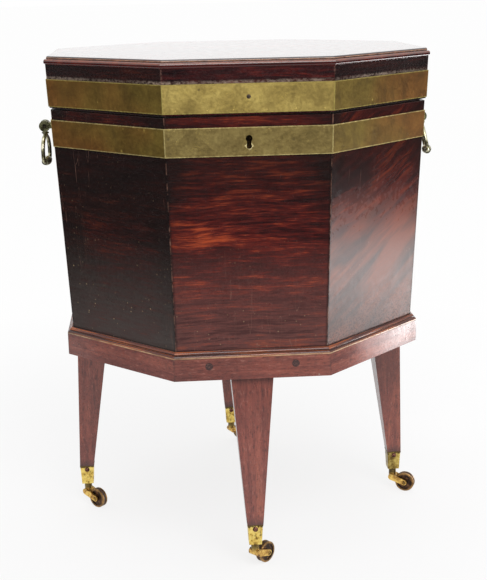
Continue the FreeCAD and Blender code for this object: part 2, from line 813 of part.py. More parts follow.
def castor_wheel(name, where):
    """A brass spool wheel: two rims with dished sides, a core for the tread and a hub on the axle."""
    body = new_body(f"castor_wheel_{name}")
    rim_radius = "wheel_diameter / 2"
    ring_inner = "wheel_diameter / 2 - wheel_ring"
    half = [
        ("axle_diameter / 2 + axle_play", "wheel_width / 2 + hub_rise"),
        ("hub_diameter / 2", "wheel_width / 2 + hub_rise"),
        ("hub_diameter / 2", "wheel_width / 2 - wheel_dish"),
        (ring_inner, "wheel_width / 2 - wheel_dish"),
        (ring_inner, "wheel_width / 2"),
        (f"{rim_radius} - wheel_chamfer", "wheel_width / 2"),
        (rim_radius, "wheel_width / 2 - wheel_chamfer"),
        (rim_radius, "tread_width / 2"),
        ("core_radius", "tread_width / 2"),
    ]
    lathe(body, "XY_Plane", "spool", mirrored(half), "Y_Axis")
    place(body, **where)
    return keep(body)


def castor_tread(name, where):
    """A leather ring in the groove of the wheel, a little lower than the rims."""
    body = new_body(f"castor_tread_{name}")
    half = [("core_radius", "tread_width / 2 - tread_fit"),
            ("wheel_diameter / 2 - tread_inset", "tread_width / 2 - tread_fit")]
    lathe(body, "XY_Plane", "ring", mirrored(half), "Y_Axis")
    place(body, **where)
    return keep(body)


def castor_axle(name, where):
    """The pin of the wheel, riveted over on both cheeks of the fork."""
    body = new_body(f"castor_axle_{name}")
    half = [
        ("0", "horn_width / 2 + rivet_height"),
        ("rivet_diameter / 2 - rivet_height", "horn_width / 2 + rivet_height"),
        ("rivet_diameter / 2", "horn_width / 2"),
        ("axle_diameter / 2", "horn_width / 2"),
    ]
    lathe(body, "XY_Plane", "pin", mirrored(half), "Y_Axis")
    place(body, **where)
    return keep(body)


castor_screw = new_body("castor_screw")
screw_seat = "-(castor_screw_face - castor_screw_sink)"
screw_path = [
    ("0", f"{screw_seat} - castor_screw_sink - castor_screw_rise"),
    ("castor_screw_head / 2", f"{screw_seat} - castor_screw_sink - castor_screw_rise"),
    ("castor_screw_head / 2", screw_seat),
    ("castor_screw_diameter / 2", screw_seat),
    ("castor_screw_diameter / 2", f"{screw_seat} + castor_screw_length"),
    ("0", f"{screw_seat} + castor_screw_length"),
]
lathe(castor_screw, "XY_Plane", "screw", screw_path, "Y_Axis")

FEET = {
    "front": ("0", "-foot_radius"),
    "right": ("foot_radius", "0"),
    "back": ("0", "foot_radius"),
    "left": ("-foot_radius", "0"),
}
cup_screws = []
for foot, (foot_x, foot_y) in FEET.items():
    swing = f"castor_angle_{foot}"
    at_swivel = {"x": foot_x, "y": foot_y, "axis": UP, "angle": swing}
    at_axle = {
        "x": f"{foot_x} + castor_trail * cos({swing})",
        "y": f"{foot_y} + castor_trail * sin({swing})",
        "z": "axle_level",
        "axis": UP,
        "angle": swing,
    }
    castor_cup(foot, foot_x, foot_y)
    castor_horn(foot, at_swivel)
    castor_wheel(foot, at_axle)
    castor_tread(foot, at_axle)
    castor_axle(foot, at_axle)
    for turn in ("0", "180"):
        cup_screws.append((castor_screw, {"x": foot_x, "y": foot_y, "z": "castor_screw_level",
                                          "axis": UP, "angle": turn}))
group("castor_screws", cup_screws)


# ---------------------------------------------------------------- case

SIDE_NAMES = ["front", "front_right", "right", "back_right", "back", "back_left", "left", "front_left"]


def keyhole(body, length, outward):
    """A keyhole cut from the front of the lock: a round eye above a slot with a flared round foot."""
    eye = [("0", "key_level")]
    foot = [("0", "key_level - key_slot_drop")]
    slot = rectangle("-key_slot_width / 2", "key_slot_width / 2", "key_level - key_slot_drop", "key_level")
    for sketch in (
        discs(body, "XZ_Plane", "key_eye", eye, "key_eye", "lock_front_radius"),
        outline(body, "XZ_Plane", "key_slot", slot, "lock_front_radius"),
        discs(body, "XZ_Plane", "key_foot", foot, "key_foot", "lock_front_radius"),
    ):
        pocket(body, sketch, length, backward=outward)


def leaf_recess(body, side_name, side, level, depth, upward):
    """A shallow recess for a hinge leaf in the edge of a board."""
    middle = f"{side} * hinge_offset"
    half = "(hinge_length / 2 + hinge_recess_play)"
    path = rectangle(f"{middle} - {half}", f"{middle} + {half}",
                     "-hinge_radius", "-(hinge_radius - leaf_width - hinge_recess_play)")
    pocket(body, outline(body, "XY_Plane", f"leaf_{side_name}", path, level), depth, backward=upward)


def hinge_screw_places(middle, radius):
    """Plan positions of the three screws of one leaf."""
    return [(f"{middle} + {step} * hinge_screw_spacing", radius) for step in (-1, 0, 1)]


def case_panel(name, turn):
    """A tapered side of the case with a narrower lip standing up inside the shadow gap."""
    body = mitred_board(f"panel_{name}", "seat_level", "case_top_level",
                        "case_foot_radius", "case_top_radius", "panel_thickness", turn)
    lip = [board_plan(body, f"lip_{level}", level, f"({case_radius(level)} - shadow_rebate)",
                      "(panel_thickness - shadow_rebate)") for level in ("case_top_level", "lip_level")]
    loft(body, "lip", lip)
    if name == "front":
        mortise = rectangle("-lock_width / 2", "lock_width / 2", "-lock_front_radius",
                            "-(lock_back_radius - lock_depth)")
        pocket(body, outline(body, "XY_Plane", "mortise", mortise, "lip_level"), "lock_height")
        keyhole(body, "panel_thickness", True)
    if name in ("left", "right"):
        shank_hole = sloping_discs(body, "shank_hole", "handle_level", case_radius("handle_level"),
                                   "shank_diameter + 2 * shank_play", "-Y")
        slot_cut(body, shank_hole, "3 * panel_thickness")
    if name == "back":
        for side_name, side in (("a", -1), ("b", 1)):
            leaf_recess(body, side_name, side, "lip_level", "lip_level - lower_leaf_level", False)
            centres = hinge_screw_places(f"{side} * hinge_offset", "-hinge_screw_radius")
            pocket(body, discs(body, "XY_Plane", f"screws_{side_name}", centres, "hinge_screw_diameter",
                               "lower_leaf_level"), "hinge_screw_length - leaf_thickness")
    return keep(body)


for index, side_name in enumerate(SIDE_NAMES):
    case_panel(side_name, index * TURN)

case_floor = new_body("case_floor")
floor_edges = [f"{case_radius(level)} - panel_thickness" for level in ("floor_level", "liner_level")]
octagonal_loft(case_floor, "board", "floor_level", "liner_level", *floor_edges)
keep(case_floor)


def liner_radius(level, inset):
    return f"{case_radius(level)} - panel_thickness - liner_fit - {inset}"


liner = new_body("lead_liner")
octagonal_loft(liner, "tray", "liner_level", "liner_top_level",
               liner_radius("liner_level", "0"), liner_radius("liner_top_level", "0"))
octagonal_loft(liner, "well", "liner_level + liner_thickness", "liner_top_level",
               liner_radius("(liner_level + liner_thickness)", "liner_thickness"),
               liner_radius("liner_top_level", "liner_thickness"), cut=True)
keep(liner)

case_band = brass_band("case_band", "case_band_foot", "case_band_top", case_radius)
keyhole(case_band, "panel_thickness", True)
for facing in ("+X", "-X"):
    side_label = "right" if facing == "+X" else "left"
    band_hole = sloping_discs(case_band, f"shank_hole_{side_label}", "handle_level",
                              case_radius("handle_level"), "shank_diameter + 2 * shank_play", facing)
    slot_cut(case_band, band_hole, "2 * panel_thickness")
keep(case_band)


# ---------------------------------------------------------------- lock

lock_case = new_body("lock_case")
lock_plane = {"level": "lock_middle_radius"}
shell = rectangle("-lock_width / 2", "lock_width / 2", "lock_level", "lip_level")
pad(lock_case, outline(lock_case, "XZ_Plane", "shell", shell, **lock_plane), "lock_depth", both_ways=True)
bolt_room = rectangle("-lock_width / 2 + lock_wall", "lock_width / 2 - lock_wall",
                      "bolt_room_level", "bolt_room_top")
slot_cut(lock_case, outline(lock_case, "XZ_Plane", "bolt_room", bolt_room, **lock_plane), "bolt_room_depth")
slot_cut(lock_case, discs(lock_case, "XZ_Plane", "key_room", [("0", "key_level")], "key_room_diameter",
                          **lock_plane), "bolt_room_depth")
key_window = rectangle("-key_window_width / 2", "key_window_width / 2",
                       "key_level", "bolt_room_level + bolt_play")
slot_cut(lock_case, outline(lock_case, "XZ_Plane", "key_window", key_window, **lock_plane), "bolt_room_depth")
for side_label, side in (("left", -1), ("right", 1)):
    half = "(staple_thickness / 2 + staple_play)"
    deep = "(staple_width / 2 + staple_play)"
    slot = rectangle(f"{side} * staple_offset - {half}", f"{side} * staple_offset + {half}",
                     f"-lock_middle_radius - {deep}", f"-lock_middle_radius + {deep}")
    slot_plan = outline(lock_case, "XY_Plane", f"staple_slot_{side_label}", slot, "lip_level")
    pocket(lock_case, slot_plan, "lock_wall")
keyhole(lock_case, "lock_wall", False)
drill_pin = discs(lock_case, "XZ_Plane", "drill_pin", [("0", "key_level")], "drill_pin_diameter",
                  "lock_back_radius + lock_wall")
pad(lock_case, drill_pin, "bolt_room_depth")
keep(lock_case)

bolt = new_body("lock_bolt")
bar_start = "-staple_offset - bolt_grip"
bar = rectangle(bar_start, f"{bar_start} + bolt_bar_length", "bolt_level", "bolt_bar_top")
pad(bolt, outline(bolt, "XZ_Plane", "bar", bar, **lock_plane), "bolt_room_depth - 2 * bolt_play",
    both_ways=True)
for side_label, side in (("left", -1), ("right", 1)):
    start = f"{side} * staple_offset - bolt_grip"
    hook = [
        (start, "bolt_bar_top - talon_height"),
        (f"{start} + bolt_post_width", "bolt_bar_top - talon_height"),
        (f"{start} + bolt_post_width", "finger_level"),
        (f"{start} + bolt_post_width + bolt_finger_length", "finger_level"),
        (f"{start} + bolt_post_width + bolt_finger_length", "finger_level + bolt_finger_height"),
        (start, "finger_level + bolt_finger_height"),
    ]
    pad(bolt, outline(bolt, "XZ_Plane", f"hook_{side_label}", hook, **lock_plane), "bolt_finger_thickness",
        both_ways=True)
talon = rectangle("-talon_width", "0", "bolt_level", "bolt_level + talon_height")
pocket(bolt, outline(bolt, "XZ_Plane", "talon", talon, **lock_plane))
keep(bolt)

link_plate = new_body("lock_link_plate")
plate = rectangle("-link_length / 2", "link_length / 2", "-lock_middle_radius - link_width / 2",
                  "-lock_middle_radius + link_width / 2")
pad(link_plate, outline(link_plate, "XY_Plane", "plate", plate, "lid_foot_level"), "link_thickness")
for side_label, side in (("left", -1), ("right", 1)):
    middle = f"{side} * staple_offset"
    staple = rectangle(f"{middle} - staple_thickness / 2", f"{middle} + staple_thickness / 2",
                       "lid_foot_level - staple_drop", "lid_foot_level")
    staple_face = outline(link_plate, "XZ_Plane", f"staple_{side_label}", staple, **lock_plane)
    pad(link_plate, staple_face, "staple_width", both_ways=True)
window = rectangle("-lock_middle_radius - staple_window_width / 2",
                   "-lock_middle_radius + staple_window_width / 2",
                   "window_level", "window_level + staple_window_height")
pocket(link_plate, outline(link_plate, "YZ_Plane", "windows", window))
keep(link_plate)


# ---------------------------------------------------------------- lid


def lid_rail(label, name):
    """A mitred side of the lid. The front one takes the lock's link plate, the back one the hinges."""
    body = mitred_board(label, "lid_foot_level", "board_level", lid_radius("lid_foot_level"),
                        lid_radius("board_level"), "lid_rail_thickness")
    if name == "front":
        pocket(body, outline(body, "XY_Plane", "link_recess", plate, "lid_foot_level"), "link_thickness",
               backward=True)
        pocket(body, band_screw_disc(body, "screw_hole", "lid_screw_diameter"), "lid_screw_length")
    if name == "back":
        for side_label, side in (("a", -1), ("b", 1)):
            leaf_recess(body, side_label, side, "lid_foot_level",
                        "upper_leaf_level + leaf_thickness - lid_foot_level", True)
            centres = hinge_screw_places(f"{side} * hinge_offset", "-hinge_screw_radius")
            pocket(body, discs(body, "XY_Plane", f"screws_{side_label}", centres, "hinge_screw_diameter",
                               "upper_leaf_level + leaf_thickness"),
                   "hinge_screw_length - leaf_thickness", backward=True)
    return body


def band_screw_disc(body, name, diameter):
    """A circle on the seat of the screw in the middle of the lid's band, square to the band."""
    seat = f"({lid_radius('lid_screw_level')} + band_thickness - lid_screw_sink)"
    return sloping_discs(body, name, "lid_screw_level", seat, diameter, "-Y")


front_rail = lid_rail("lid_rail_front", "front")
back_rail = lid_rail("lid_rail_back", "back")
side_rail = lid_rail("lid_rail_side", "side")
group("lid_rails", turned(front_rail, 0) + turned(back_rail, 180)
      + turned(side_rail, 45, 90, 135, 225, 270, 315))

lid_board = new_body("lid_board")
board_profile = [
    ("0", "board_level"),
    ("-board_radius", "board_level"),
    ("-board_radius", "nosing_level", "nosing_projection", "right"),
    ("-nosing_radius", "nosing_level + nosing_projection"),
    ("-nosing_radius", "nosing_top - nosing_height / 2", "nosing_height / 2", "right"),
    ("-nosing_flat", "nosing_top"),
    ("-board_step_radius", "nosing_top"),
    ("-board_step_radius", "lid_top_level - board_round", "board_round", "right"),
    ("-board_step_radius + board_round", "lid_top_level"),
    ("0", "lid_top_level"),
]
wedge = mitred_length(lid_board, board_profile, "nosing_radius")
whole_board = lid_board.newObject("PartDesign::PolarPattern", "lid_board_sides")
whole_board.Originals = wedge
whole_board.TransformMode = "Whole shape"
whole_board.Axis = (origin_feature(lid_board, "Z_Axis"), [""])
whole_board.Angle = 360
whole_board.Occurrences = SIDES
lid_board.Tip = whole_board
keep(lid_board)

lid_band = brass_band("lid_band", "lid_band_foot", "lid_band_top", lid_radius)
pocket(lid_band, band_screw_disc(lid_band, "screw_hole", "lid_screw_diameter"), "lid_screw_length")
pocket(lid_band, band_screw_disc(lid_band, "screw_head", "lid_screw_head"), "2 * lid_screw_sink",
       backward=True)
keep(lid_band)

lid_screw = new_body("lid_band_screw")
pad(lid_screw, band_screw_disc(lid_screw, "head", "lid_screw_head"), "lid_screw_sink + lid_screw_rise")
pad(lid_screw, band_screw_disc(lid_screw, "shank", "lid_screw_diameter"), "lid_screw_length", backward=True)
keep(lid_screw)


# ---------------------------------------------------------------- hinges


def hinge_leaf(label, level, upper):
    """One leaf: the case's carries the two outer knuckles, the lid's the middle one."""
    body = new_body(label)
    leaf_path = rectangle("-hinge_length / 2", "hinge_length / 2",
                          "hinge_radius - leaf_width", "hinge_radius")
    pad(body, outline(body, "XY_Plane", "leaf", leaf_path, level), "leaf_thickness")
    axis_point = [("hinge_radius", "hinge_level")]
    barrel = discs(body, "YZ_Plane", "knuckle", axis_point, "knuckle_diameter")
    pad(body, barrel, "hinge_length", both_ways=True)
    room_inner = "hinge_radius - knuckle_diameter / 2 - knuckle_gap"
    room_outer = "hinge_radius + knuckle_diameter"
    if upper:
        rooms = [("left", "-hinge_length", "-hinge_middle / 2"),
                 ("right", "hinge_middle / 2", "hinge_length")]
    else:
        rooms = [("middle", "-hinge_middle / 2 - knuckle_gap", "hinge_middle / 2 + knuckle_gap")]
    for room_name, left, right in rooms:
        room = rectangle(left, right, room_inner, room_outer)
        pocket(body, outline(body, "XY_Plane", f"room_{room_name}", room))
    bore = "hinge_pin_diameter + 2 * hinge_pin_play" if upper else "hinge_pin_diameter"
    pocket(body, discs(body, "YZ_Plane", "bore", axis_point, bore))
    face = level if upper else f"({level} + leaf_thickness)"
    sink = "(hinge_screw_head - hinge_screw_diameter) / 2"
    narrow = f"{face} + {sink}" if upper else f"{face} - {sink}"
    centres = hinge_screw_places("0", "hinge_screw_radius")
    pocket(body, discs(body, "XY_Plane", "screw_holes", centres, "hinge_screw_diameter"))
    for number, centre in enumerate(centres):
        wide_end = discs(body, "XY_Plane", f"sink_{number}_face", [centre], "hinge_screw_head", face)
        narrow_end = discs(body, "XY_Plane", f"sink_{number}_foot", [centre], "hinge_screw_diameter", narrow)
        loft(body, f"countersink_{number}", [wide_end, narrow_end], cut=True)
    return body


hinge_screw = new_body("hinge_screw")
screw_half = "hinge_screw_diameter / 2"
hinge_screw_path = [
    ("0", "0"),
    ("hinge_screw_head / 2", "0"),
    (screw_half, f"-(hinge_screw_head / 2 - {screw_half})"),
    (screw_half, "-hinge_screw_length"),
    ("0", "-hinge_screw_length"),
]
lathe(hinge_screw, "XZ_Plane", "screw", hinge_screw_path, "Z_Axis")

AT_HINGES = [{"x": f"{side} * hinge_offset"} for side in (-1, 1)]
lower_leaf = hinge_leaf("hinge_leaf_lower", "lower_leaf_level", False)
upper_leaf = hinge_leaf("hinge_leaf_upper", "upper_leaf_level", True)
group("hinge_leaves_case", [(lower_leaf, where) for where in AT_HINGES])
group("hinge_leaves_lid", [(upper_leaf, where) for where in AT_HINGES])

hinge_pin = new_body("hinge_pin")
pin_end = discs(hinge_pin, "YZ_Plane", "pin", [("hinge_radius", "hinge_level")], "hinge_pin_diameter")
pad(hinge_pin, pin_end, "hinge_length", both_ways=True)
group("hinge_pins", [(hinge_pin, where) for where in AT_HINGES])

LEAF_FACES = (("case", "lower_leaf_level + leaf_thickness", "0"), ("lid", "upper_leaf_level", "180"))
for owner, face_level, flip in LEAF_FACES:
    screws = []
    for side in (-1, 1):
        for screw_x, screw_y in hinge_screw_places(f"{side} * hinge_offset", "hinge_screw_radius"):
            where = {"x": screw_x, "y": screw_y, "z": face_level, "axis": ACROSS, "angle": flip}
            screws.append((hinge_screw, where))
    group(f"hinge_screws_{owner}", screws)


# ---------------------------------------------------------------- ring handles
# Drawn at the right-hand side of the case, +X out of the band, then copied to both sides.

AT_HANDLES = [
    {"x": "handle_radius", "z": "handle_level", "axis": DEEP, "angle": "taper_angle"},
    {"x": "-handle_radius", "z": "handle_level", "axis": DEEP, "angle": "180 - taper_angle"},
]

rose = new_body("handle_rose")
rose_path = [
    ("0", "shank_diameter / 2"),
    ("0", "rose_diameter / 2"),
    ("rose_thickness - rose_edge", "rose_diameter / 2", "rose_edge", "right"),
    ("rose_thickness", "rose_diameter / 2 - rose_edge"),
    ("rose_thickness", "shank_diameter / 2"),
]
lathe(rose, "XZ_Plane", "rose", rose_path, "X_Axis")
group("handle_roses", [(rose, where) for where in AT_HANDLES])

post = new_body("handle_post")
post_path = [
    ("-wall_depth - nut_thickness - shank_end", "0"),
    ("-wall_depth - nut_thickness - shank_end", "shank_diameter / 2"),
    ("rose_thickness", "shank_diameter / 2"),
    ("rose_thickness", "post_neck_diameter / 2"),
    ("slot_base", "post_neck_diameter / 2"),
    ("slot_base", "0"),
]
lathe(post, "XZ_Plane", "shank", post_path, "X_Axis")
pivot = [("pivot_reach", "0")]
pad(post, discs(post, "XZ_Plane", "knuckle", pivot, "2 * knuckle_radius"), "knuckle_width", both_ways=True)
slot_path = rectangle("slot_base", "pivot_reach + 2 * knuckle_radius",
                      "-2 * knuckle_radius", "2 * knuckle_radius")
slot_cut(post, outline(post, "XZ_Plane", "slot", slot_path), "slot_width")
pocket(post, discs(post, "XZ_Plane", "pin_hole", pivot, "handle_pin_diameter"))
group("handle_posts", [(post, where) for where in AT_HANDLES])

handle_pin = new_body("handle_pin")
pin_section = discs(handle_pin, "XZ_Plane", "pin", pivot, "handle_pin_diameter")
pad(handle_pin, pin_section, "knuckle_width", both_ways=True)
PIN_ENDS = (("front", "knuckle_width / 2", False), ("back", "-knuckle_width / 2", True))
for end_label, end_level, outward in PIN_ENDS:
    head = discs(handle_pin, "XZ_Plane", f"head_{end_label}", pivot, "handle_pin_head", end_level)
    pad(handle_pin, head, "handle_pin_head_height", backward=outward)
group("handle_pins", [(handle_pin, where) for where in AT_HANDLES])

nut = new_body("handle_nut")
nut_path = rectangle("-nut_width / 2", "nut_width / 2", "-nut_width / 2", "nut_width / 2")
pad(nut, outline(nut, "YZ_Plane", "nut", nut_path, "-wall_depth"), "nut_thickness", backward=True)
pocket(nut, discs(nut, "YZ_Plane", "hole", [("0", "0")], "shank_diameter"))
group("handle_nuts", [(nut, where) for where in AT_HANDLES])


def ring_handle(label):
    """A ring hanging from its pivot: an eye, a collared neck, a drop-shaped loop and a turned grip."""
    body = new_body(label)
    twist = {"axis": DEEP, "angle": "-ring_twist"}
    neck = [
        ("0", "-ring_middle + ring_half_width"),
        ("ring_neck / 2", "-ring_middle + ring_half_width"),
        ("ring_neck / 2", "-ring_collar_level - ring_collar_height"),
        ("ring_collar_diameter / 2", "-ring_collar_level - ring_collar_height"),
        ("ring_collar_diameter / 2", "-ring_collar_level"),
        ("ring_neck / 2", "-ring_collar_level"),
        ("ring_neck / 2", "0"),
        ("0", "0"),
    ]
    lathe(body, "XZ_Plane", "neck", neck, "Z_Axis")
    pad(body, discs(body, "XZ_Plane", "eye", [("0", "0")], "2 * eye_radius"), "eye_width", both_ways=True)

    inner_half = "ring_half_width - ring_corner"
    corner_level = "-grip_level + ring_corner"
    spine = outline(body, "YZ_Plane", "spine", [
        ("0", "-grip_level"),
        (inner_half, "-grip_level", "ring_corner", "left"),
        ("ring_half_width", corner_level),
        ("ring_half_width", "-ring_middle", "ring_half_width", "left"),
        ("0", "-ring_middle + ring_half_width", "ring_half_width", "left"),
        ("-ring_half_width", "-ring_middle"),
        ("-ring_half_width", corner_level, "ring_corner", "left"),
        (f"-({inner_half})", "-grip_level"),
    ], **twist)
    section = discs(body, "XZ_Plane", "section", [("0", "-grip_level")], "ring_rod", **twist)
    loop = body.newObject("PartDesign::AdditivePipe", f"{label}_loop")
    loop.Profile = section
    loop.Spine = spine
    loop.Transition = "Right corner"

    grip = outline(body, "YZ_Plane", "grip", [
        ("-grip_length / 2", "0"),
        ("-grip_length / 2", "grip_end_diameter / 2"),
        ("-grip_half", "grip_end_diameter / 2"),
        ("-grip_half", "grip_neck_diameter / 2", "grip_curve", "right"),
        ("grip_half", "grip_neck_diameter / 2"),
        ("grip_half", "grip_end_diameter / 2"),
        ("grip_length / 2", "grip_end_diameter / 2"),
        ("grip_length / 2", "0"),
    ], shift="-grip_level", **twist)
    revolve(body, grip, "H_Axis")
    pocket(body, discs(body, "XZ_Plane", "bore", [("0", "0")], "handle_pin_diameter + 2 * handle_pin_play"))
    return keep(body)


place(ring_handle("ring_left"), "-pivot_radius", "0", "pivot_level")
place(ring_handle("ring_right"), "pivot_radius", "0", "pivot_level", DEEP, "-ring_right_lift")


# ---------------------------------------------------------------- finished pieces

doc.recompute()

faults = [thing.Label for thing in doc.Objects if {"Invalid", "Error"} & set(thing.State)]
faults += [piece.Label for piece in nodes if piece.Shape.isNull() or not piece.Shape.isValid()]
for cut in cuts:
    before = cut.BaseFeature.Shape.Volume
    if before - cut.Shape.Volume < 1e-3:
        faults.append(cut.Label)
if faults:
    raise RuntimeError(f"not built: {faults}")

os.makedirs("parts", exist_ok=True)
for piece in nodes:
    piece.Shape.exportStep(os.path.join("parts", f"{piece.Label}.step"))
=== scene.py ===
import json
import math

import bmesh
import bpy
from mathutils import Matrix, Vector


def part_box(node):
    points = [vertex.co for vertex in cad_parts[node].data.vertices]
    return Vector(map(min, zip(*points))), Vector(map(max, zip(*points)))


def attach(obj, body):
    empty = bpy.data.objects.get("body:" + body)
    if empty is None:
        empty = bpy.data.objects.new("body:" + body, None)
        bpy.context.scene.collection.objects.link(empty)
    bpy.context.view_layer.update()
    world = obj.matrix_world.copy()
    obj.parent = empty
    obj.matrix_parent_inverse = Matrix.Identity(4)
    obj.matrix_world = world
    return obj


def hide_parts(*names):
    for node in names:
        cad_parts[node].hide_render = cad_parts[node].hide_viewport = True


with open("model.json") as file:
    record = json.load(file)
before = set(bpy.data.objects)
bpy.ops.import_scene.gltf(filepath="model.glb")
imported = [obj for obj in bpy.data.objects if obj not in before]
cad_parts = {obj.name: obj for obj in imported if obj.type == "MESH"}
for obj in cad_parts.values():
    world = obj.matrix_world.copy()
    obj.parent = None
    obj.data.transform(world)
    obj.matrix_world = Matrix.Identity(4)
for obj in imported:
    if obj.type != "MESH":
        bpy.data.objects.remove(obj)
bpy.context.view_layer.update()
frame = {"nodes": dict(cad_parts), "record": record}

# An octagonal brass-bound cellarette on a castored stand. Metres, +Z up, the lock faces -Y.

SIDES = 8
FACET = math.tau / SIDES
FEET = ("front", "right", "back", "left")
PANELS = ("front", "front_right", "right", "back_right", "back", "back_left", "left", "front_left")

# Sides by their number in the facet node group.
FRONT = 0
RIGHT_OF_FRONT = 1
LEFT_OF_FRONT = -1

# Levels, and how far out the lid's sides reach, all from the CAD parts.
LID_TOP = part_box("lid_board")[1].z
CASE_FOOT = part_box("panel_front")[0].z
BAND_FOOT, BAND_TOP = (corner.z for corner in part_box("case_band"))
LID_BAND_FOOT, LID_BAND_TOP = (corner.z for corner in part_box("lid_band"))
LID_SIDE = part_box("lid_rails")[1].x
RAIL_FOOT, RAIL_TOP = (corner.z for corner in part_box("stand_rails"))
LEG_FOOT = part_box("castor_socket_front")[1].z
CUP_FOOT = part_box("castor_socket_front")[0].z

# How far the sides of the case lean outwards for each metre of height.
TAPER = 0.04635
# The middle of the keyhole's round foot, above the lower edge of the case's band.
KEYHOLE_FOOT = 0.0118

body_of_node = {node: body
                for body, nodes in frame["record"]["behaviour"]["bodies"].items() for node in nodes}
slot_of_node = {part["node"]: part["material_slot"] for part in frame["record"]["subparts"]}


# ---------------- node materials


def srgb(red, green, blue):
    """A colour given as 0 to 255 screen values, as linear RGBA."""
    def linear(level):
        level /= 255
        return level / 12.92 if level <= 0.04045 else ((level + 0.055) / 1.055) ** 2.4
    return (linear(red), linear(green), linear(blue), 1.0)


class Shader:
    """A material, world or node group in the making. Sockets and plain values go in, a socket comes out."""

    def __init__(self, tree):
        self.tree = tree

    def add(self, kind, **settings):
        node = self.tree.nodes.new(kind)
        for name, setting in settings.items():
            setattr(node, name, setting)
        return node

    def feed(self, socket, source):
        if isinstance(source, bpy.types.NodeSocket):
            self.tree.links.new(source, socket)
        else:
            socket.default_value = source

    def math(self, operation, *sources):
        node = self.add("ShaderNodeMath", operation=operation)
        for socket, source in zip(node.inputs, sources):
            self.feed(socket, source)
        return node.outputs[0]

    def chain(self, operation, first, others):
        for other in others:
            first = self.math(operation, first, other)
        return first

    def total(self, first, *others):
        return self.chain("ADD", first, others)

    def times(self, first, *others):
        return self.chain("MULTIPLY", first, others)

    def highest(self, first, *others):
        return self.chain("MAXIMUM", first, others)

    def minus(self, first, second):
        return self.math("SUBTRACT", first, second)

    def above(self, source, level):
        """1 above the level, 0 below it."""
        return self.math("GREATER_THAN", source, level)

    def below(self, source, level):
        """1 below the level, 0 above it."""
        return self.math("LESS_THAN", source, level)

    def span(self, source, low, high, start=0.0, end=1.0, smooth=False):
        """Map low..high to start..end, held at both ends."""
        node = self.add("ShaderNodeMapRange", interpolation_type="SMOOTHSTEP" if smooth else "LINEAR")
        for socket, given in zip(node.inputs, (source, low, high, start, end)):
            self.feed(socket, given)
        return node.outputs[0]

    def between(self, share, first, last):
        """First where the share is 0, last where it is 1."""
        return self.span(share, 0.0, 1.0, first, last)

    def varied(self, noise, first, last):
        """From first to last over the middle range of a noise."""
        return self.span(noise, 0.3, 0.7, first, last)

    def line(self, source, middle, inner, outer, strength):
        """The strength within inner of the middle, 0 beyond outer."""
        gap = self.math("ABSOLUTE", self.minus(source, middle))
        return self.span(gap, inner, outer, strength, 0.0)

    def vector(self, x, y, z):
        node = self.add("ShaderNodeCombineXYZ")
        for socket, source in zip(node.inputs, (x, y, z)):
            self.feed(socket, source)
        return node.outputs[0]

    def split(self, source):
        node = self.add("ShaderNodeSeparateXYZ")
        self.feed(node.inputs[0], source)
        return node.outputs[0], node.outputs[1], node.outputs[2]

    def stretch(self, source, scale, offset=(0.0, 0.0, 0.0)):
        """The position scaled along each axis, or by one number along all, and moved by the offset."""
        node = self.add("ShaderNodeMapping")
        self.feed(node.inputs["Vector"], source)
        self.feed(node.inputs["Scale"], (scale, scale, scale) if isinstance(scale, float) else scale)
        self.feed(node.inputs["Location"], offset)
        return node.outputs[0]

    def noise(self, source, scale, detail, roughness=0.5, distortion=0.0, offset=(0.0, 0.0, 0.0)):
        """Smooth noise about 0.5. Scale is its waves per metre, as for stretch; the rest as in the node."""
        node = self.add("ShaderNodeTexNoise")
        self.feed(node.inputs["Vector"], self.stretch(source, scale, offset))
        self.feed(node.inputs["Scale"], 1.0)
        self.feed(node.inputs["Detail"], detail)
        self.feed(node.inputs["Roughness"], roughness)
        self.feed(node.inputs["Distortion"], distortion)
        return node.outputs["Fac"]

    def cells(self, source, scale):
        """Distance to the nearest of scattered points, and the random colour of its cell."""
        node = self.add("ShaderNodeTexVoronoi")
        self.feed(node.inputs["Vector"], source)
        self.feed(node.inputs["Scale"], scale)
        return node.outputs["Distance"], node.outputs["Color"]

    def ramp(self, source, stops):
        """Colours along the source's way from 0 to 1. Each stop is a place and three screen values."""
        node = self.add("ShaderNodeValToRGB")
        self.feed(node.inputs[0], source)
        elements = node.color_ramp.elements
        while len(elements) < len(stops):
            elements.new(0.5)
        for element, (place, *screen) in zip(elements, stops):
            element.position = place
            element.color = srgb(*screen)
        return node.outputs[0]

    def mix(self, factor, first, second, blend="MIX"):
        node = self.add("ShaderNodeMix", data_type="RGBA", blend_type=blend)
        self.feed(node.inputs[0], factor)
        self.feed(node.inputs[6], first)
        self.feed(node.inputs[7], second)
        return node.outputs[2]

    def tinted(self, colour, tint):
        return self.mix(1.0, colour, tint, "MULTIPLY")

    def bump(self, height, distance, strength):
        node = self.add("ShaderNodeBump")
        self.feed(node.inputs["Height"], height)
        self.feed(node.inputs["Distance"], distance)
        self.feed(node.inputs["Strength"], strength)
        return node.outputs[0]


class Material(Shader):
    """A material with a Principled shader; its further parts are set by their socket names."""

    def __init__(self, name):
        self.material = bpy.data.materials.new(name)
        self.material.use_nodes = True
        super().__init__(self.material.node_tree)
        self.tree.nodes.clear()
        self.principled = self.add("ShaderNodeBsdfPrincipled")
        self.output = self.add("ShaderNodeOutputMaterial")
        self.tree.links.new(self.principled.outputs[0], self.output.inputs[0])
        self.place = self.add("ShaderNodeTexCoord").outputs["Object"]

    def surface(self, colour, roughness, relief=None, **parts):
        """The finished material. Relief is the surface height, its depth in metres and its strength."""
        parts.update(Base_Color=colour, Roughness=roughness)
        if relief:
            parts["Normal"] = self.bump(*relief)
        for name, source in parts.items():
            self.feed(self.principled.inputs[name.replace("_", " ")], source)
        return self.material


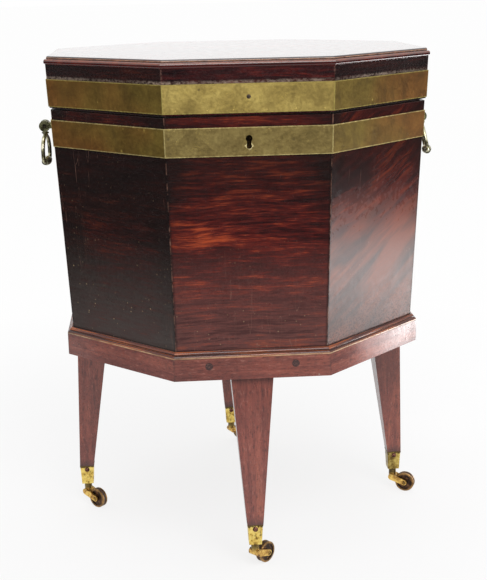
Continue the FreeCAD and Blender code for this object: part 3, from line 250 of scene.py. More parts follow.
def facet_group():
    """Object position turned so that x runs along the nearest of the eight sides, y outwards and z up.
    Number counts the sides from the front, upwards to the right and downwards to the left."""
    tree = bpy.data.node_groups.new("facet", "ShaderNodeTree")
    tree.interface.new_socket("Position", in_out="INPUT", socket_type="NodeSocketVector")
    for name in ("Along", "Out", "Up", "Number"):
        tree.interface.new_socket(name, in_out="OUTPUT", socket_type="NodeSocketFloat")
    shader = Shader(tree)
    source = shader.add("NodeGroupInput")
    result = shader.add("NodeGroupOutput")
    x, y, z = shader.split(source.outputs[0])
    azimuth = shader.math("ARCTAN2", x, shader.times(y, -1.0))
    number = shader.math("ROUND", shader.math("DIVIDE", azimuth, FACET))
    angle = shader.times(number, FACET)
    cosine = shader.math("COSINE", angle)
    sine = shader.math("SINE", angle)
    along = shader.total(shader.times(x, cosine), shader.times(y, sine))
    out = shader.minus(shader.times(x, sine), shader.times(y, cosine))
    for socket, given in zip(result.inputs, (along, out, z, number)):
        shader.feed(socket, given)
    return tree


FACETS = facet_group()


def facet(shader):
    """Along, out, up and number of the side for a material."""
    node = shader.add("ShaderNodeGroup", node_tree=FACETS)
    shader.feed(node.inputs[0], shader.place)
    return node.outputs[0], node.outputs[1], node.outputs[2], node.outputs[3]


def on_side(shader, number, wanted):
    """1 on the side with the wanted number, 0 on the others."""
    return shader.math("COMPARE", number, float(wanted), 0.5)


def shifted(shader, along, number, apart):
    """The way along a side, moved on from side to side so that no two sides show the same pattern."""
    return shader.total(along, shader.times(number, apart))


def corner_nearness(shader, along, out, reach):
    """1 at the corner between two sides, 0 at reach from it."""
    half = shader.times(out, math.tan(FACET / 2))
    return shader.span(shader.minus(half, shader.math("ABSOLUTE", along)), 0.0, reach, 1.0, 0.0)


def speckle(shader, scale, low, high, share, seed):
    """Small scattered spots of unequal size and strength: 1 on the spot. Share is the part of the cells
    that have one; low and high are the spot's inner and outer radius in cells."""
    distance, colour = shader.cells(shader.stretch(shader.place, 1.0, seed), scale)
    pick, size, strength = shader.split(colour)
    distance = shader.math("DIVIDE", distance, shader.between(size, 0.35, 1.25))
    chosen = shader.times(shader.above(pick, 1.0 - share), shader.between(strength, 0.3, 1.0))
    return shader.times(shader.span(distance, low, high, 1.0, 0.0), chosen)


# ---------------- wood

CASE_PALETTE = [(0.30, 30, 10, 11), (0.45, 58, 17, 17), (0.58, 92, 28, 22), (0.74, 160, 66, 34)]
LID_PALETTE = [(0.30, 24, 12, 14), (0.48, 50, 19, 20), (0.60, 78, 26, 23), (0.75, 128, 54, 36)]
STAND_PALETTE = [(0.30, 92, 48, 42), (0.46, 134, 70, 60), (0.58, 160, 88, 72), (0.75, 190, 112, 84)]
RIM_PALETTE = [(0.30, 58, 28, 24), (0.46, 88, 42, 34), (0.58, 112, 56, 42), (0.75, 150, 82, 52)]
OAK_PALETTE = [(0.30, 96, 74, 52), (0.50, 140, 110, 76), (0.75, 170, 138, 98)]
DUST = srgb(168, 150, 138)
# Dark colour for smoke clouds, and for painted shade on the case and the lid's frieze.
SMOKE_AND_SHADE = srgb(24, 17, 16)

# How far the painted shade reaches down from the case's band.
BAND_SHADE_REACH = 0.11
# Above the foot of the case: the two levels between which each of these fades out.
DULL = (0.0, 0.14)
# The bloom is polish bloom and painted reflection of the floor.
BLOOM_AND_REFLECTION = (0.01, 0.15)
STAIN = (0.015, 0.075)
SPECKS = (0.04, 0.17)
VEIL = (0.12, 0.21)
# Below the top of the lid: the parts of the board's moulding.
STEP = 0.0021
QUIRK = 0.0033
NOSING = 0.0046


def wood_figure(wood, along, across, depth, palette, coarse, contrast=1.0):
    """Streaked wood and its surface height. Along is the way of the grain; coarse is the number of streaks
    per metre across it."""
    position = wood.vector(along, across, depth)
    streaks = wood.noise(position, (2.2, coarse, coarse), 4.0, 0.62, 0.35)
    patches = wood.noise(position, (5.0, 16.0, 16.0), 2.0)
    tone = wood.total(wood.times(streaks, 0.72), wood.times(patches, 0.28))
    tone = wood.total(wood.times(wood.minus(tone, 0.5), contrast), 0.5)
    fibres = wood.noise(position, (26.0, 620.0, 620.0), 3.0, 0.6)
    pores = wood.span(wood.noise(position, (120.0, 1900.0, 1900.0), 1.0), 0.60, 0.70)
    colour = wood.ramp(tone, palette)
    colour = wood.mix(wood.span(fibres, 0.3, 0.75, 0.0, 0.55), colour,
                      wood.tinted(colour, (0.42, 0.36, 0.36, 1.0)))
    colour = wood.mix(wood.times(pores, 0.6), colour, (0.01, 0.005, 0.004, 1.0))
    return colour, wood.minus(wood.times(fibres, 0.5), wood.times(pores, 0.5))


def polished_figure(wood, along, up, out, slant):
    """Fine ribbon figure of old polished mahogany: short thin flecks over slow clouds, as tone, flecks and
    pores. Slant is 0 for level grain and 1 for grain that climbs to the right."""
    climb = wood.times(slant, -0.40)
    bend = wood.noise(wood.vector(along, up, out), (9.0, 9.0, 3.0), 2.0)
    level = wood.total(up, wood.times(along, climb))
    level = wood.total(level, wood.times(bend, wood.between(slant, 0.012, 0.05)))
    position = wood.vector(along, level, wood.times(out, 0.3))
    clouds = wood.noise(position, (5.0, 22.0, 10.0), 3.0, 0.55, 0.2)
    streaks = wood.noise(position, (14.0, 150.0, 60.0), 3.0, 0.6, 0.2)
    flecks = wood.noise(position, (42.0, 430.0, 200.0), 3.0, 0.66)
    tone = wood.total(wood.times(clouds, wood.between(slant, 0.27, 0.40)),
                      wood.times(streaks, wood.between(slant, 0.35, 0.46)),
                      wood.times(flecks, wood.between(slant, 0.38, 0.14)))
    contrast = wood.between(slant, 1.6, 1.25)
    tone = wood.total(wood.times(wood.minus(tone, 0.5), contrast), 0.5)
    pores = wood.noise(position, (120.0, 1900.0, 900.0), 1.0)
    return tone, flecks, wood.span(pores, 0.60, 0.70)


def near_foot(wood, up, reach, strength, rest=0.0, smooth=False):
    """The strength at the foot of the case, fading to the rest between the levels of the reach."""
    low, high = reach
    return wood.span(up, CASE_FOOT + low, CASE_FOOT + high, strength, rest, smooth)


def case_shade(wood, along, up, number, smoke):
    """How dark the case is painted: painted shade under the band, on the strip above the band and on the side
    left of the front, with clouds of smoke, and darker towards the corners."""
    below_band = wood.below(up, BAND_TOP - 0.010)
    # Painted shade, deepening towards the underside of the band.
    under_band = wood.times(wood.span(up, BAND_FOOT - BAND_SHADE_REACH, BAND_FOOT, smooth=True), 0.74)
    clouds = wood.span(smoke, 0.5, 0.75, 0.0, 0.55)
    # Painted shade on the strip above the band, deeper on the side right of the front.
    strip = wood.between(on_side(wood, number, RIGHT_OF_FRONT), 0.35, 0.62)
    corner = wood.span(wood.math("ABSOLUTE", along), 0.055, 0.100, 0.0, 0.45, smooth=True)
    shade = wood.total(
        wood.times(wood.total(under_band, clouds), below_band),
        wood.between(below_band, strip, 0.0),
        wood.times(corner, wood.span(smoke, 0.35, 0.6, 0.3, 1.0)),
        # The side left of the front is painted darker as shade.
        wood.times(on_side(wood, number, LEFT_OF_FRONT), wood.between(below_band, 0.30, 0.72)))
    return wood.math("MINIMUM", shade, 0.92)


def case_bloom_and_reflection(wood, colour, along, up, out, number, tone):
    """The veil on the flamed side, the pale bloom near the foot of the case, which is polish bloom and
    painted reflection of the floor, and the veins, bright streaks and stains in it."""
    front = on_side(wood, number, FRONT)
    flamed = on_side(wood, number, RIGHT_OF_FRONT)
    haze = wood.noise(wood.place, (300.0, 300.0, 420.0), 3.0, 0.65)
    climbing = wood.vector(along, wood.minus(up, wood.times(along, 0.5)), out)
    patches = wood.noise(climbing, (9.0, 34.0, 9.0), 3.0, 0.55, 0.3)
    veil = near_foot(wood, up, VEIL, 0.85, smooth=True)
    veil_colour = wood.mix(wood.span(patches, 0.40, 0.60), srgb(66, 42, 40), srgb(128, 66, 46))
    colour = wood.mix(wood.times(veil, flamed), colour, veil_colour)
    # Polish bloom with painted reflection of the floor: pale near the foot, paler and pinker on the front.
    bloom = wood.times(near_foot(wood, up, BLOOM_AND_REFLECTION, 0.68),
                       wood.span(haze, 0.30, 0.70, 0.45, 1.0),
                       wood.span(tone, 0.35, 0.62, 1.0, wood.between(flamed, 0.45, 0.95)))
    colour = wood.mix(bloom, colour, wood.mix(front, srgb(92, 82, 76), srgb(150, 96, 88)))
    bloomed_front = wood.times(wood.span(bloom, 0.0, 0.4), front)
    veins = wood.times(wood.span(tone, 0.38, 0.50, 0.80, 0.0), bloomed_front)
    colour = wood.mix(veins, colour, srgb(58, 22, 22))
    bright = wood.times(wood.span(tone, 0.53, 0.66, 0.0, 0.6), bloomed_front)
    colour = wood.mix(bright, colour, srgb(170, 88, 62))
    stain = wood.times(wood.span(haze, 0.46, 0.58, 0.0, 0.75),
                       near_foot(wood, up, STAIN, 1.0),
                       wood.between(flamed, 0.45, 1.0))
    return wood.mix(stain, colour, srgb(52, 32, 32))


def case_wear(wood, colour, along, up, out, number, smoke):
    """Dust specks, fine scratches, and corners dark with polish and rubbed at the arris."""
    specks = wood.highest(speckle(wood, 210.0, 0.08, 0.21, 0.34, (0.0, 0.0, 0.0)),
                          speckle(wood, 60.0, 0.02, 0.07, 0.40, (5.0, 3.0, 1.0)))
    specks = wood.times(specks,
                        near_foot(wood, up, SPECKS, 1.0, 0.15),
                        wood.between(on_side(wood, number, LEFT_OF_FRONT), 0.3, 1.0),
                        wood.span(smoke, 0.38, 0.58, 0.2, 1.0))
    colour = wood.mix(specks, colour, srgb(206, 178, 136))
    scratch = wood.noise(wood.vector(along, up, out), (160.0, 14.0, 3.0), 1.0, 0.5, 0.4, (0.4, 0.0, 0.0))
    scratch = wood.times(wood.line(scratch, 0.62, 0.002, 0.010, 0.35),
                         wood.span(smoke, 0.50, 0.62))
    colour = wood.mix(scratch, colour, srgb(150, 112, 96))
    polish = wood.times(corner_nearness(wood, along, out, 0.0035), 0.85)
    colour = wood.mix(polish, colour, srgb(20, 13, 13))
    rubbed = wood.noise(wood.place, (30.0, 30.0, 46.0), 4.0, 0.7)
    worn = wood.times(corner_nearness(wood, along, out, 0.0012),
                      wood.span(rubbed, 0.46, 0.60, 0.0, 0.6))
    return wood.mix(worn, colour, srgb(160, 116, 98))


def case_wood():
    """Dark polished mahogany: level flecked grain, flamed on the side right of the front, smoke clouds,
    painted shade under and above the band and on the side left of the front, a pale bloom near the foot that
    is partly painted reflection, dust specks."""
    wood = Material("case_mahogany")
    along, out, up, number = facet(wood)
    flamed = on_side(wood, number, RIGHT_OF_FRONT)
    tone, flecks, pores = polished_figure(wood, shifted(wood, along, number, 3.7), up, out, flamed)
    tone = wood.total(tone, wood.between(flamed, 0.0, 0.045))
    colour = wood.ramp(tone, CASE_PALETTE)
    colour = wood.mix(wood.times(pores, 0.5), colour, (0.008, 0.004, 0.003, 1.0))
    smoke = wood.noise(wood.place, (7.0, 7.0, 5.0), 3.0, 0.55)
    # Painted shade and smoke clouds.
    colour = wood.mix(case_shade(wood, along, up, number, smoke), colour, SMOKE_AND_SHADE)
    colour = case_bloom_and_reflection(wood, colour, along, up, out, number, tone)
    colour = case_wear(wood, colour, along, up, out, number, smoke)
    mottle = wood.noise(wood.place, 140.0, 4.0, 0.6)
    rough = wood.total(
        wood.varied(mottle, 0.19, 0.28),
        near_foot(wood, up, DULL, 0.12),
        wood.times(flamed, wood.span(up, CASE_FOOT + DULL[1], BAND_FOOT, 0.08, -0.04)))
    height = wood.minus(wood.times(flecks, 0.5), wood.times(pores, 0.4))
    height = wood.times(height, wood.between(flamed, 1.0, 0.2))
    return wood.surface(colour, rough, (height, 0.0003, 0.25), Specular_IOR_Level=0.32)


def lid_wood():
    """The frieze of the lid: as the case, with painted shade darkening the sides other than the front, and a
    strip of old polish along the band's upper edge.
    """
    wood = Material("lid_mahogany")
    along, out, up, number = facet(wood)
    tone, flecks, _ = polished_figure(wood, shifted(wood, along, number, 5.3), up, out, 0.0)
    colour = wood.ramp(tone, LID_PALETTE)
    # The sides other than the front are painted dark as shade.
    aside = wood.minus(1.0, on_side(wood, number, FRONT))
    colour = wood.mix(wood.times(aside, 0.78), colour, SMOKE_AND_SHADE)
    mottle = wood.noise(wood.place, (260.0, 260.0, 420.0), 3.0, 0.6)
    patches = wood.noise(wood.place, (22.0, 22.0, 8.0), 2.0)
    strip = wood.times(wood.span(up, LID_BAND_TOP + 0.0022, LID_BAND_TOP + 0.0045, 1.0, 0.0),
                       wood.span(mottle, 0.40, 0.62, 0.10, 0.95),
                       wood.span(patches, 0.38, 0.60, 0.35, 1.0),
                       wood.above(up, LID_BAND_FOOT),
                       wood.above(out, LID_SIDE - 0.010))
    colour = wood.mix(strip, colour, srgb(142, 124, 110))
    worn = wood.times(corner_nearness(wood, along, out, 0.0018),
                      wood.span(mottle, 0.45, 0.62, 0.0, 0.5))
    colour = wood.mix(worn, colour, srgb(130, 92, 80))
    # The rails' upper edge, under the board, stays even.
    under_board = wood.below(up, LID_TOP - 0.0125)
    rough = wood.total(wood.varied(mottle, 0.18, 0.34), wood.times(strip, 0.35))
    rough = wood.total(wood.times(rough, under_board), wood.between(under_board, 0.25, 0.0))
    height = wood.times(flecks, under_board)
    return wood.surface(colour, rough, (height, 0.0001, 0.15), Specular_IOR_Level=0.42)


def board_wood():
    """The lid's top board: grain across the front, painted shade in the quirk and along the edge of the top,
    painted highlights on the step and the nosing."""
    wood = Material("lid_board_mahogany")
    x, y, z = wood.split(wood.place)
    colour, height = wood_figure(wood, x, wood.total(y, 2.0), wood.times(z, 2.0), CASE_PALETTE, 38.0)
    grime = wood.noise(wood.place, (90.0, 90.0, 300.0), 3.0, 0.6)
    # How strongly the painted highlights show along the step and the nosing.
    rubbed = wood.span(grime, 0.3, 0.6, 0.3, 1.0)
    # Painted shade in the quirk and along the edge of the top.
    quirk = wood.line(z, LID_TOP - QUIRK, 0.0002, 0.0010, 0.85)
    colour = wood.mix(quirk, colour, srgb(22, 14, 14))
    edge = wood.times(wood.span(z, LID_TOP - 0.0016, LID_TOP - 0.0010, 0.0, 0.75),
                      wood.below(z, LID_TOP - 0.0001))
    colour = wood.mix(edge, colour, srgb(26, 16, 14))
    # Painted highlights on the step and the nosing.
    step = wood.line(z, LID_TOP - STEP, 0.0002, 0.0006, 0.8)
    colour = wood.mix(wood.times(step, rubbed), colour, srgb(206, 158, 124))
    nosing = wood.line(z, LID_TOP - NOSING, 0.0006, 0.0018, 0.6)
    colour = wood.mix(wood.times(nosing, rubbed), colour, srgb(150, 76, 44))
    height = wood.times(height, wood.above(z, LID_TOP - 0.0003))
    return wood.surface(colour, wood.varied(grime, 0.08, 0.16), (height, 0.0001, 0.12),
                        Specular_IOR_Level=0.5, Coat_Weight=0.4, Coat_Roughness=0.05)


def stand_wood(name, upright):
    """Drier, paler mahogany: grain along the rails, or up and down the legs, with bruises and dusty chips."""
    wood = Material(name)
    if upright:
        x, y, z = wood.split(wood.place)
        colour, height = wood_figure(wood, z, wood.total(x, 4.0), y, STAND_PALETTE, 95.0, 0.9)
        ticks = wood.noise(wood.place, (520.0, 520.0, 110.0), 2.0, 0.6)
    else:
        along, out, up, number = facet(wood)
        colour, height = wood_figure(wood, shifted(wood, along, number, 2.9), up,
                                     wood.times(out, 0.5), STAND_PALETTE, 120.0, 0.9)
        ticks = wood.noise(wood.vector(along, out, up), (110.0, 300.0, 520.0), 2.0, 0.6)
    mottle = wood.noise(wood.place, 120.0, 4.0, 0.65)
    smoke = wood.noise(wood.place, (11.0, 11.0, 14.0), 3.0)
    colour = wood.mix(wood.span(smoke, 0.45, 0.72, 0.0, 0.5), colour, srgb(84, 46, 42))
    colour = wood.mix(wood.span(mottle, 0.55, 0.74, 0.0, 0.5), colour, srgb(64, 38, 36))
    colour = wood.mix(wood.span(ticks, 0.56, 0.70, 0.0, 0.6), colour, srgb(60, 32, 32))
    colour = wood.mix(wood.span(ticks, 0.26, 0.40, 0.35, 0.0), colour, srgb(186, 132, 116))
    bruises = speckle(wood, 38.0, 0.06, 0.16, 0.22, (1.0, 7.0, 2.0))
    colour = wood.mix(wood.times(bruises, 0.6), colour, srgb(58, 34, 34))
    chips = speckle(wood, 60.0, 0.04, 0.08, 0.16, (3.0, 1.0, 6.0))
    colour = wood.mix(wood.times(chips, 0.6), colour, DUST)
    if upright:
        # The right leg is painted a little darker as shade; every leg has grime above its cup, and painted
        # shadow below the rail.
        colour = wood.mix(wood.span(x, 0.10, 0.16, 0.0, 0.2), colour, srgb(84, 52, 46))
        grime = wood.highest(wood.span(z, LEG_FOOT, LEG_FOOT + 0.012, 0.75, 0.0),
                             wood.span(z, RAIL_FOOT - 0.010, RAIL_FOOT, 0.0, 0.6))
        colour = wood.mix(grime, colour, srgb(56, 34, 34))
    else:
        worn = wood.times(corner_nearness(wood, along, out, 0.0022),
                          wood.span(mottle, 0.40, 0.6, 0.1, 0.7))
        colour = wood.mix(worn, colour, srgb(60, 38, 36))
    return wood.surface(colour, wood.varied(mottle, 0.24, 0.38), (height, 0.0002, 0.3),
                        Specular_IOR_Level=0.5, Coat_Weight=0.3 if upright else 0.1, Coat_Roughness=0.08)


def rim_wood():
    """The rim moulding: orange streaks and dark lines along it, and a painted highlight along the lower
    arris.
    """
    wood = Material("rim_mahogany")
    along, out, up, number = facet(wood)
    colour, height = wood_figure(wood, shifted(wood, along, number, 2.1), up, out,
                                 RIM_PALETTE, 150.0, 0.9)
    grime = wood.noise(wood.place, 60.0, 3.0, 0.6)
    level = wood.vector(along, out, up)
    worn = wood.noise(level, (14.0, 500.0, 500.0), 2.0)
    colour = wood.mix(wood.span(worn, 0.46, 0.60, 0.0, 0.85), colour, srgb(178, 94, 44))
    lines = wood.noise(level, (3.0, 300.0, 900.0), 1.0, offset=(1.0, 0.0, 0.0))
    colour = wood.mix(wood.span(lines, 0.46, 0.60, 0.0, 0.9), colour, srgb(36, 20, 20))
    # A painted highlight along the lower arris.
    arris = wood.times(wood.line(up, RAIL_TOP + 0.0012, 0.0004, 0.0011, 0.8),
                       wood.span(grime, 0.35, 0.6, 0.4, 1.0))
    colour = wood.mix(arris, colour, srgb(206, 166, 128))
    return wood.surface(colour, wood.varied(grime, 0.16, 0.30), (height, 0.0001, 0.3),
                        Specular_IOR_Level=0.5)


def oak():
    """Unpolished secondary wood of the hidden boards."""
    wood = Material("oak")
    x, y, z = wood.split(wood.place)
    colour, height = wood_figure(wood, y, x, z, OAK_PALETTE, 60.0)
    grime = wood.noise(wood.place, 18.0, 3.0, 0.6)
    colour = wood.mix(wood.span(grime, 0.4, 0.7, 0.0, 0.6), colour, srgb(78, 58, 42))
    return wood.surface(colour, wood.varied(grime, 0.6, 0.8), (height, 0.0004, 0.5))


def pellet_wood():
    """End-grain plugs gone dark, with paler rings."""
    wood = Material("pellet_mahogany")
    rings = wood.noise(wood.place, (420.0, 420.0, 900.0), 3.0, 0.6)
    colour = wood.ramp(rings, [(0.3, 40, 24, 24), (0.55, 66, 40, 38), (0.72, 126, 88, 78)])
    return wood.surface(colour, wood.varied(rings, 0.42, 0.6), (rings, 0.0003, 0.5))


# ---------------- brass


def keyhole_wear_and_glint(brass, colour, along, up, number, foot, fine):
    """The ragged bright rim where keys rubbed the foot of the keyhole, with a painted glint on it."""
    high = brass.minus(up, foot + KEYHOLE_FOOT)
    reach = brass.math("SQRT", brass.total(brass.times(along, along), brass.times(high, high)))
    reach = brass.total(reach, brass.span(fine, 0.35, 0.60, 0.0016, -0.0006))
    # A painted glint on the rubbed rim.
    rubbed = brass.times(brass.span(reach, 0.0044, 0.0052, 0.95, 0.0),
                         on_side(brass, number, FRONT),
                         brass.span(high, 0.0030, 0.0046, 1.0, 0.25))
    return brass.mix(rubbed, colour, srgb(250, 232, 170))


def band_brass(name, foot, top, pale, polish, scuffs, keyhole=False):
    """Tarnished sheet brass: brown clouds, dark pits, curled scuffs and bright edges. The sides next to the
    front are browner and darker: copper-toned tarnish, and painted shade. Polish brightens the front as
    painted light; scuffs is the strength of its curls."""
    brass = Material(name)
    along, out, up, number = facet(brass)
    sheet = brass.vector(shifted(brass, along, number, 4.1), up, 0.0)
    clouds = brass.noise(sheet, (26.0, 40.0, 1.0), 4.0, 0.6, 0.4)
    fine = brass.noise(sheet, (240.0, 240.0, 1.0), 4.0, 0.65)
    colour = brass.ramp(brass.total(brass.times(clouds, 0.7), brass.times(fine, 0.3)),
                        [(0.30, 108, 92, 50), (0.48, 138, 118, 66),
                         (0.62, 158, 138, 80), (0.78, 184, 162, 96)])
    # The sides next to the front are painted darker and browner: copper-toned tarnish, and painted shade.
    aside = brass.minus(1.0, on_side(brass, number, FRONT))
    blush = brass.noise(sheet, (8.0, 9.0, 1.0), 2.0, offset=(7.0, 0.0, 0.0))
    outer = brass.total(blush, brass.times(along, number, 2.6))
    tint = brass.mix(brass.span(outer, 0.38, 0.68), (0.72, 0.66, 0.40, 1.0), (0.84, 0.50, 0.34, 1.0))
    # Polish brightens the front as painted light.
    colour = brass.mix(aside, brass.tinted(colour, polish), brass.tinted(colour, tint))
    stains = brass.noise(sheet, (42.0, 16.0, 1.0), 4.0, 0.62, 0.6, (3.0, 0.0, 0.0))
    stained = brass.span(stains, 0.50, 0.70, 0.0, brass.between(aside, 0.34, 0.55))
    colour = brass.mix(stained, colour, srgb(84, 66, 32))
    pits = brass.highest(speckle(brass, 55.0, 0.05, 0.16, 0.30, (2.0, 5.0, 8.0)),
                         speckle(brass, 130.0, 0.06, 0.20, 0.14, (4.0, 8.0, 1.0)))
    colour = brass.mix(brass.times(pits, brass.varied(fine, 0.2, 0.8)), colour, srgb(66, 58, 40))
    curls = brass.noise(sheet, (130.0, 170.0, 1.0), 1.0, 0.5, 1.6, (0.0, 9.0, 0.0))
    curls = brass.times(brass.line(curls, 0.5, 0.004, 0.022, 1.0),
                        brass.span(stains, 0.52, 0.44),
                        brass.between(aside, scuffs, 0.12))
    chips = brass.highest(speckle(brass, 70.0, 0.04, 0.12, 0.20, (9.0, 2.0, 4.0)),
                          speckle(brass, 34.0, 0.03, 0.09, 0.34, (1.0, 6.0, 3.0)))
    colour = brass.mix(brass.highest(brass.times(chips, 0.8), curls), colour, srgb(214, 186, 96))
    margin = brass.math("MINIMUM", brass.minus(up, foot), brass.minus(top, up))
    edge = brass.highest(brass.span(margin, 0.0004, 0.0013, 1.0, 0.0),
                         corner_nearness(brass, along, out, 0.0012))
    edge = brass.times(edge, brass.span(fine, 0.35, 0.6, 0.45, 1.0))
    colour = brass.mix(edge, colour, pale)
    if keyhole:
        colour = keyhole_wear_and_glint(brass, colour, along, up, number, foot, fine)
    height = brass.minus(brass.times(clouds, 0.6), brass.times(pits, 0.5))
    rough = brass.minus(brass.varied(fine, 0.34, 0.52), brass.times(edge, 0.10))
    return brass.surface(colour, rough, (height, 0.0006, 0.5), Metallic=0.72)


def worn_brass(name, bright, middle, dark, amount, scale):
    """Cast brass rubbed bright over brown-green tarnish, as material, colour and tone. The three colours are
    screen values; amount is the share of tarnish, 0 to 1."""
    brass = Material(name)
    clouds = brass.noise(brass.place, scale, 4.0, 0.6, 0.3)
    fine = brass.noise(brass.place, 700.0, 3.0, 0.6)
    tone = brass.total(brass.times(clouds, 0.75), brass.times(fine, 0.25))
    low = 0.34 + 0.26 * amount
    colour = brass.ramp(tone, [(low, *dark), (low + 0.10, *middle), (low + 0.22, *bright)])
    return brass, colour, tone


def plain_brass(name, bright, middle, dark, amount, scale, smooth):
    """Worn brass with no further marks. Smooth is the roughness where it is rubbed."""
    brass, colour, tone = worn_brass(name, bright, middle, dark, amount, scale)
    return brass.surface(colour, brass.varied(tone, smooth + 0.2, smooth),
                         (tone, 0.0003, smooth + 0.1), Metallic=0.9)


def cup_brass():
    """The leg cups: bright yellow brass with dark blotches, and grime round the collar. The right cup has
    painted shade on its inner side."""
    brass, colour, tone = worn_brass("cup_brass", (240, 214, 122), (212, 178, 88), (104, 78, 38),
                                     0.05, 130.0)
    x, _, z = brass.split(brass.place)
    grime = brass.noise(brass.place, (240.0, 240.0, 120.0), 3.0, 0.6)
    ragged = brass.total(z, brass.span(grime, 0.35, 0.65, -0.0012, 0.0022))
    collar = brass.span(ragged, LEG_FOOT - 0.0032, LEG_FOOT - 0.0020, 0.0, 0.92)
    spots = brass.span(grime, 0.56, 0.70, 0.0, 0.8)
    # Painted shade on the inner side of the right cup.
    inner_shade = brass.times(brass.span(x, 0.224, 0.240, 0.92, 0.1), brass.above(x, 0.1),
                         brass.span(tone, 0.40, 0.64, 1.0, 0.5))
    colour = brass.mix(brass.highest(collar, spots, inner_shade), colour, srgb(70, 52, 32))
    return brass.surface(colour, brass.varied(tone, 0.42, 0.26), (grime, 0.0004, 0.4), Metallic=0.9)


def horn_brass():
    """The swivelling horns: greenish brown necks and arms rubbed bright."""
    brass, colour, tone = worn_brass("horn_brass", (236, 200, 112), (192, 148, 76), (96, 66, 42),
                                     0.14, 150.0)
    up = brass.split(brass.place)[2]
    neck = brass.span(up, CUP_FOOT - 0.0125, CUP_FOOT - 0.0065, 0.0, 0.8)
    colour = brass.mix(neck, colour, srgb(58, 56, 36))
    return brass.surface(colour, brass.varied(tone, 0.48, 0.28), (tone, 0.0003, 0.4), Metallic=0.85)


def wheel_brass(foot):
    """A castor wheel: dark brown at the hub, gold-brown where the rims rub."""
    brass, colour, tone = worn_brass(f"wheel_brass_{foot}", (136, 98, 60), (84, 58, 40), (42, 30, 24),
                                     0.45, 160.0)
    low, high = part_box(f"castor_wheel_{foot}")
    radius = (high.z - low.z) / 2
    from_axle = brass.add("ShaderNodeVectorMath", operation="DISTANCE")
    brass.feed(from_axle.inputs[0], brass.place)
    brass.feed(from_axle.inputs[1], tuple((low + high) / 2))
    rub = brass.times(brass.span(from_axle.outputs["Value"], radius * 0.84, radius * 0.95, 0.0, 0.8),
                      brass.span(tone, 0.36, 0.60, 0.35, 1.0))
    colour = brass.mix(rub, colour, srgb(176, 136, 82))
    return brass.surface(colour, brass.varied(tone, 0.50, 0.34), (tone, 0.0003, 0.4), Metallic=0.8)


# ---------------- leather, lead and steel


def leather():
    """The hard leather tread: dark, scuffed and cracked across."""
    shader = Material("tread_leather")
    grain = shader.noise(shader.place, 900.0, 4.0, 0.65)
    cracks = shader.cells(shader.place, 420.0)[0]
    colour = shader.ramp(grain, [(0.3, 30, 20, 16), (0.5, 58, 38, 28), (0.72, 104, 76, 56)])
    height = shader.total(shader.times(grain, 0.5), shader.times(cracks, 0.5))
    return shader.surface(colour, shader.varied(grain, 0.55, 0.8), (height, 0.0004, 0.6))


def lead():
    """Dull lead sheet with pale oxide and soft dents."""
    shader = Material("lead_sheet")
    clouds = shader.noise(shader.place, (14.0, 14.0, 9.0), 5.0, 0.6, 0.5)
    fine = shader.noise(shader.place, 160.0, 4.0, 0.6)
    tone = shader.total(shader.times(clouds, 0.65), shader.times(fine, 0.35))
    colour = shader.ramp(tone, [(0.3, 72, 74, 78), (0.5, 104, 106, 108), (0.7, 156, 156, 152)])
    return shader.surface(colour, shader.varied(fine, 0.5, 0.68), (clouds, 0.003, 0.5), Metallic=0.55)


def steel():
    """Browned steel of screws, nuts and bolt."""
    shader = Material("dark_steel")
    clouds = shader.noise(shader.place, 260.0, 4.0, 0.6)
    colour = shader.ramp(clouds, [(0.3, 40, 34, 30), (0.5, 72, 62, 54), (0.72, 132, 118, 104)])
    return shader.surface(colour, shader.varied(clouds, 0.5, 0.34), (clouds, 0.0002, 0.4), Metallic=0.85)


# ---------------- softened copies of the sharp nodes

SAME_POINT = 2e-6
FLAT_WITHIN = math.radians(0.5)
SHARP_FROM = math.radians(25.0)
ROUNDING_STEPS = 2


def softened(node, width):
    """A piece with the node's own shape whose sharp edges are rounded over, in the node's place."""
    source = frame["nodes"][node]
    mesh = source.data.copy()
    shape = bmesh.new()
    shape.from_mesh(mesh)
    bmesh.ops.remove_doubles(shape, verts=shape.verts, dist=SAME_POINT)
    bmesh.ops.dissolve_limit(shape, angle_limit=FLAT_WITHIN, verts=shape.verts, edges=shape.edges)
    shape.to_mesh(mesh)
    shape.free()
    mesh.name = f"{node}_softened"
    piece = bpy.data.objects.new(f"{node}_softened", mesh)
    bpy.context.scene.collection.objects.link(piece)
    bevel = piece.modifiers.new("edges", "BEVEL")
    bevel.width = width
    bevel.segments = ROUNDING_STEPS
    bevel.limit_method = "ANGLE"
    bevel.angle_limit = SHARP_FROM
    bevel.use_clamp_overlap = True
    flats = piece.modifiers.new("flats", "WEIGHTED_NORMAL")
    flats.mode = "FACE_AREA"
    flats.weight = 100
    mesh.shade_smooth()
    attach(piece, body_of_node[node])
    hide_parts(node)
    return piece


# ---------------- pins and screw heads

DOME_RINGS = 4
DOME_TURNS = 20
# Shares of a head's height: faces above the first are cut by the slot, whose floor is at the second.
SLOT_REACH = 0.2
SLOT_FLOOR = 0.12
# From one head of a piece to the next, so that their slots don't all point the same way.
HEAD_SPIN = 1.9
PIN_RADIUS = 0.0011
PIN_RISE = 0.0004
# From the edge of a band to its pins, and how deep they sit in it.
PIN_INSET = 0.0032
PIN_SUNK = 0.00005
BAND_SCREW_SUNK = 0.0001


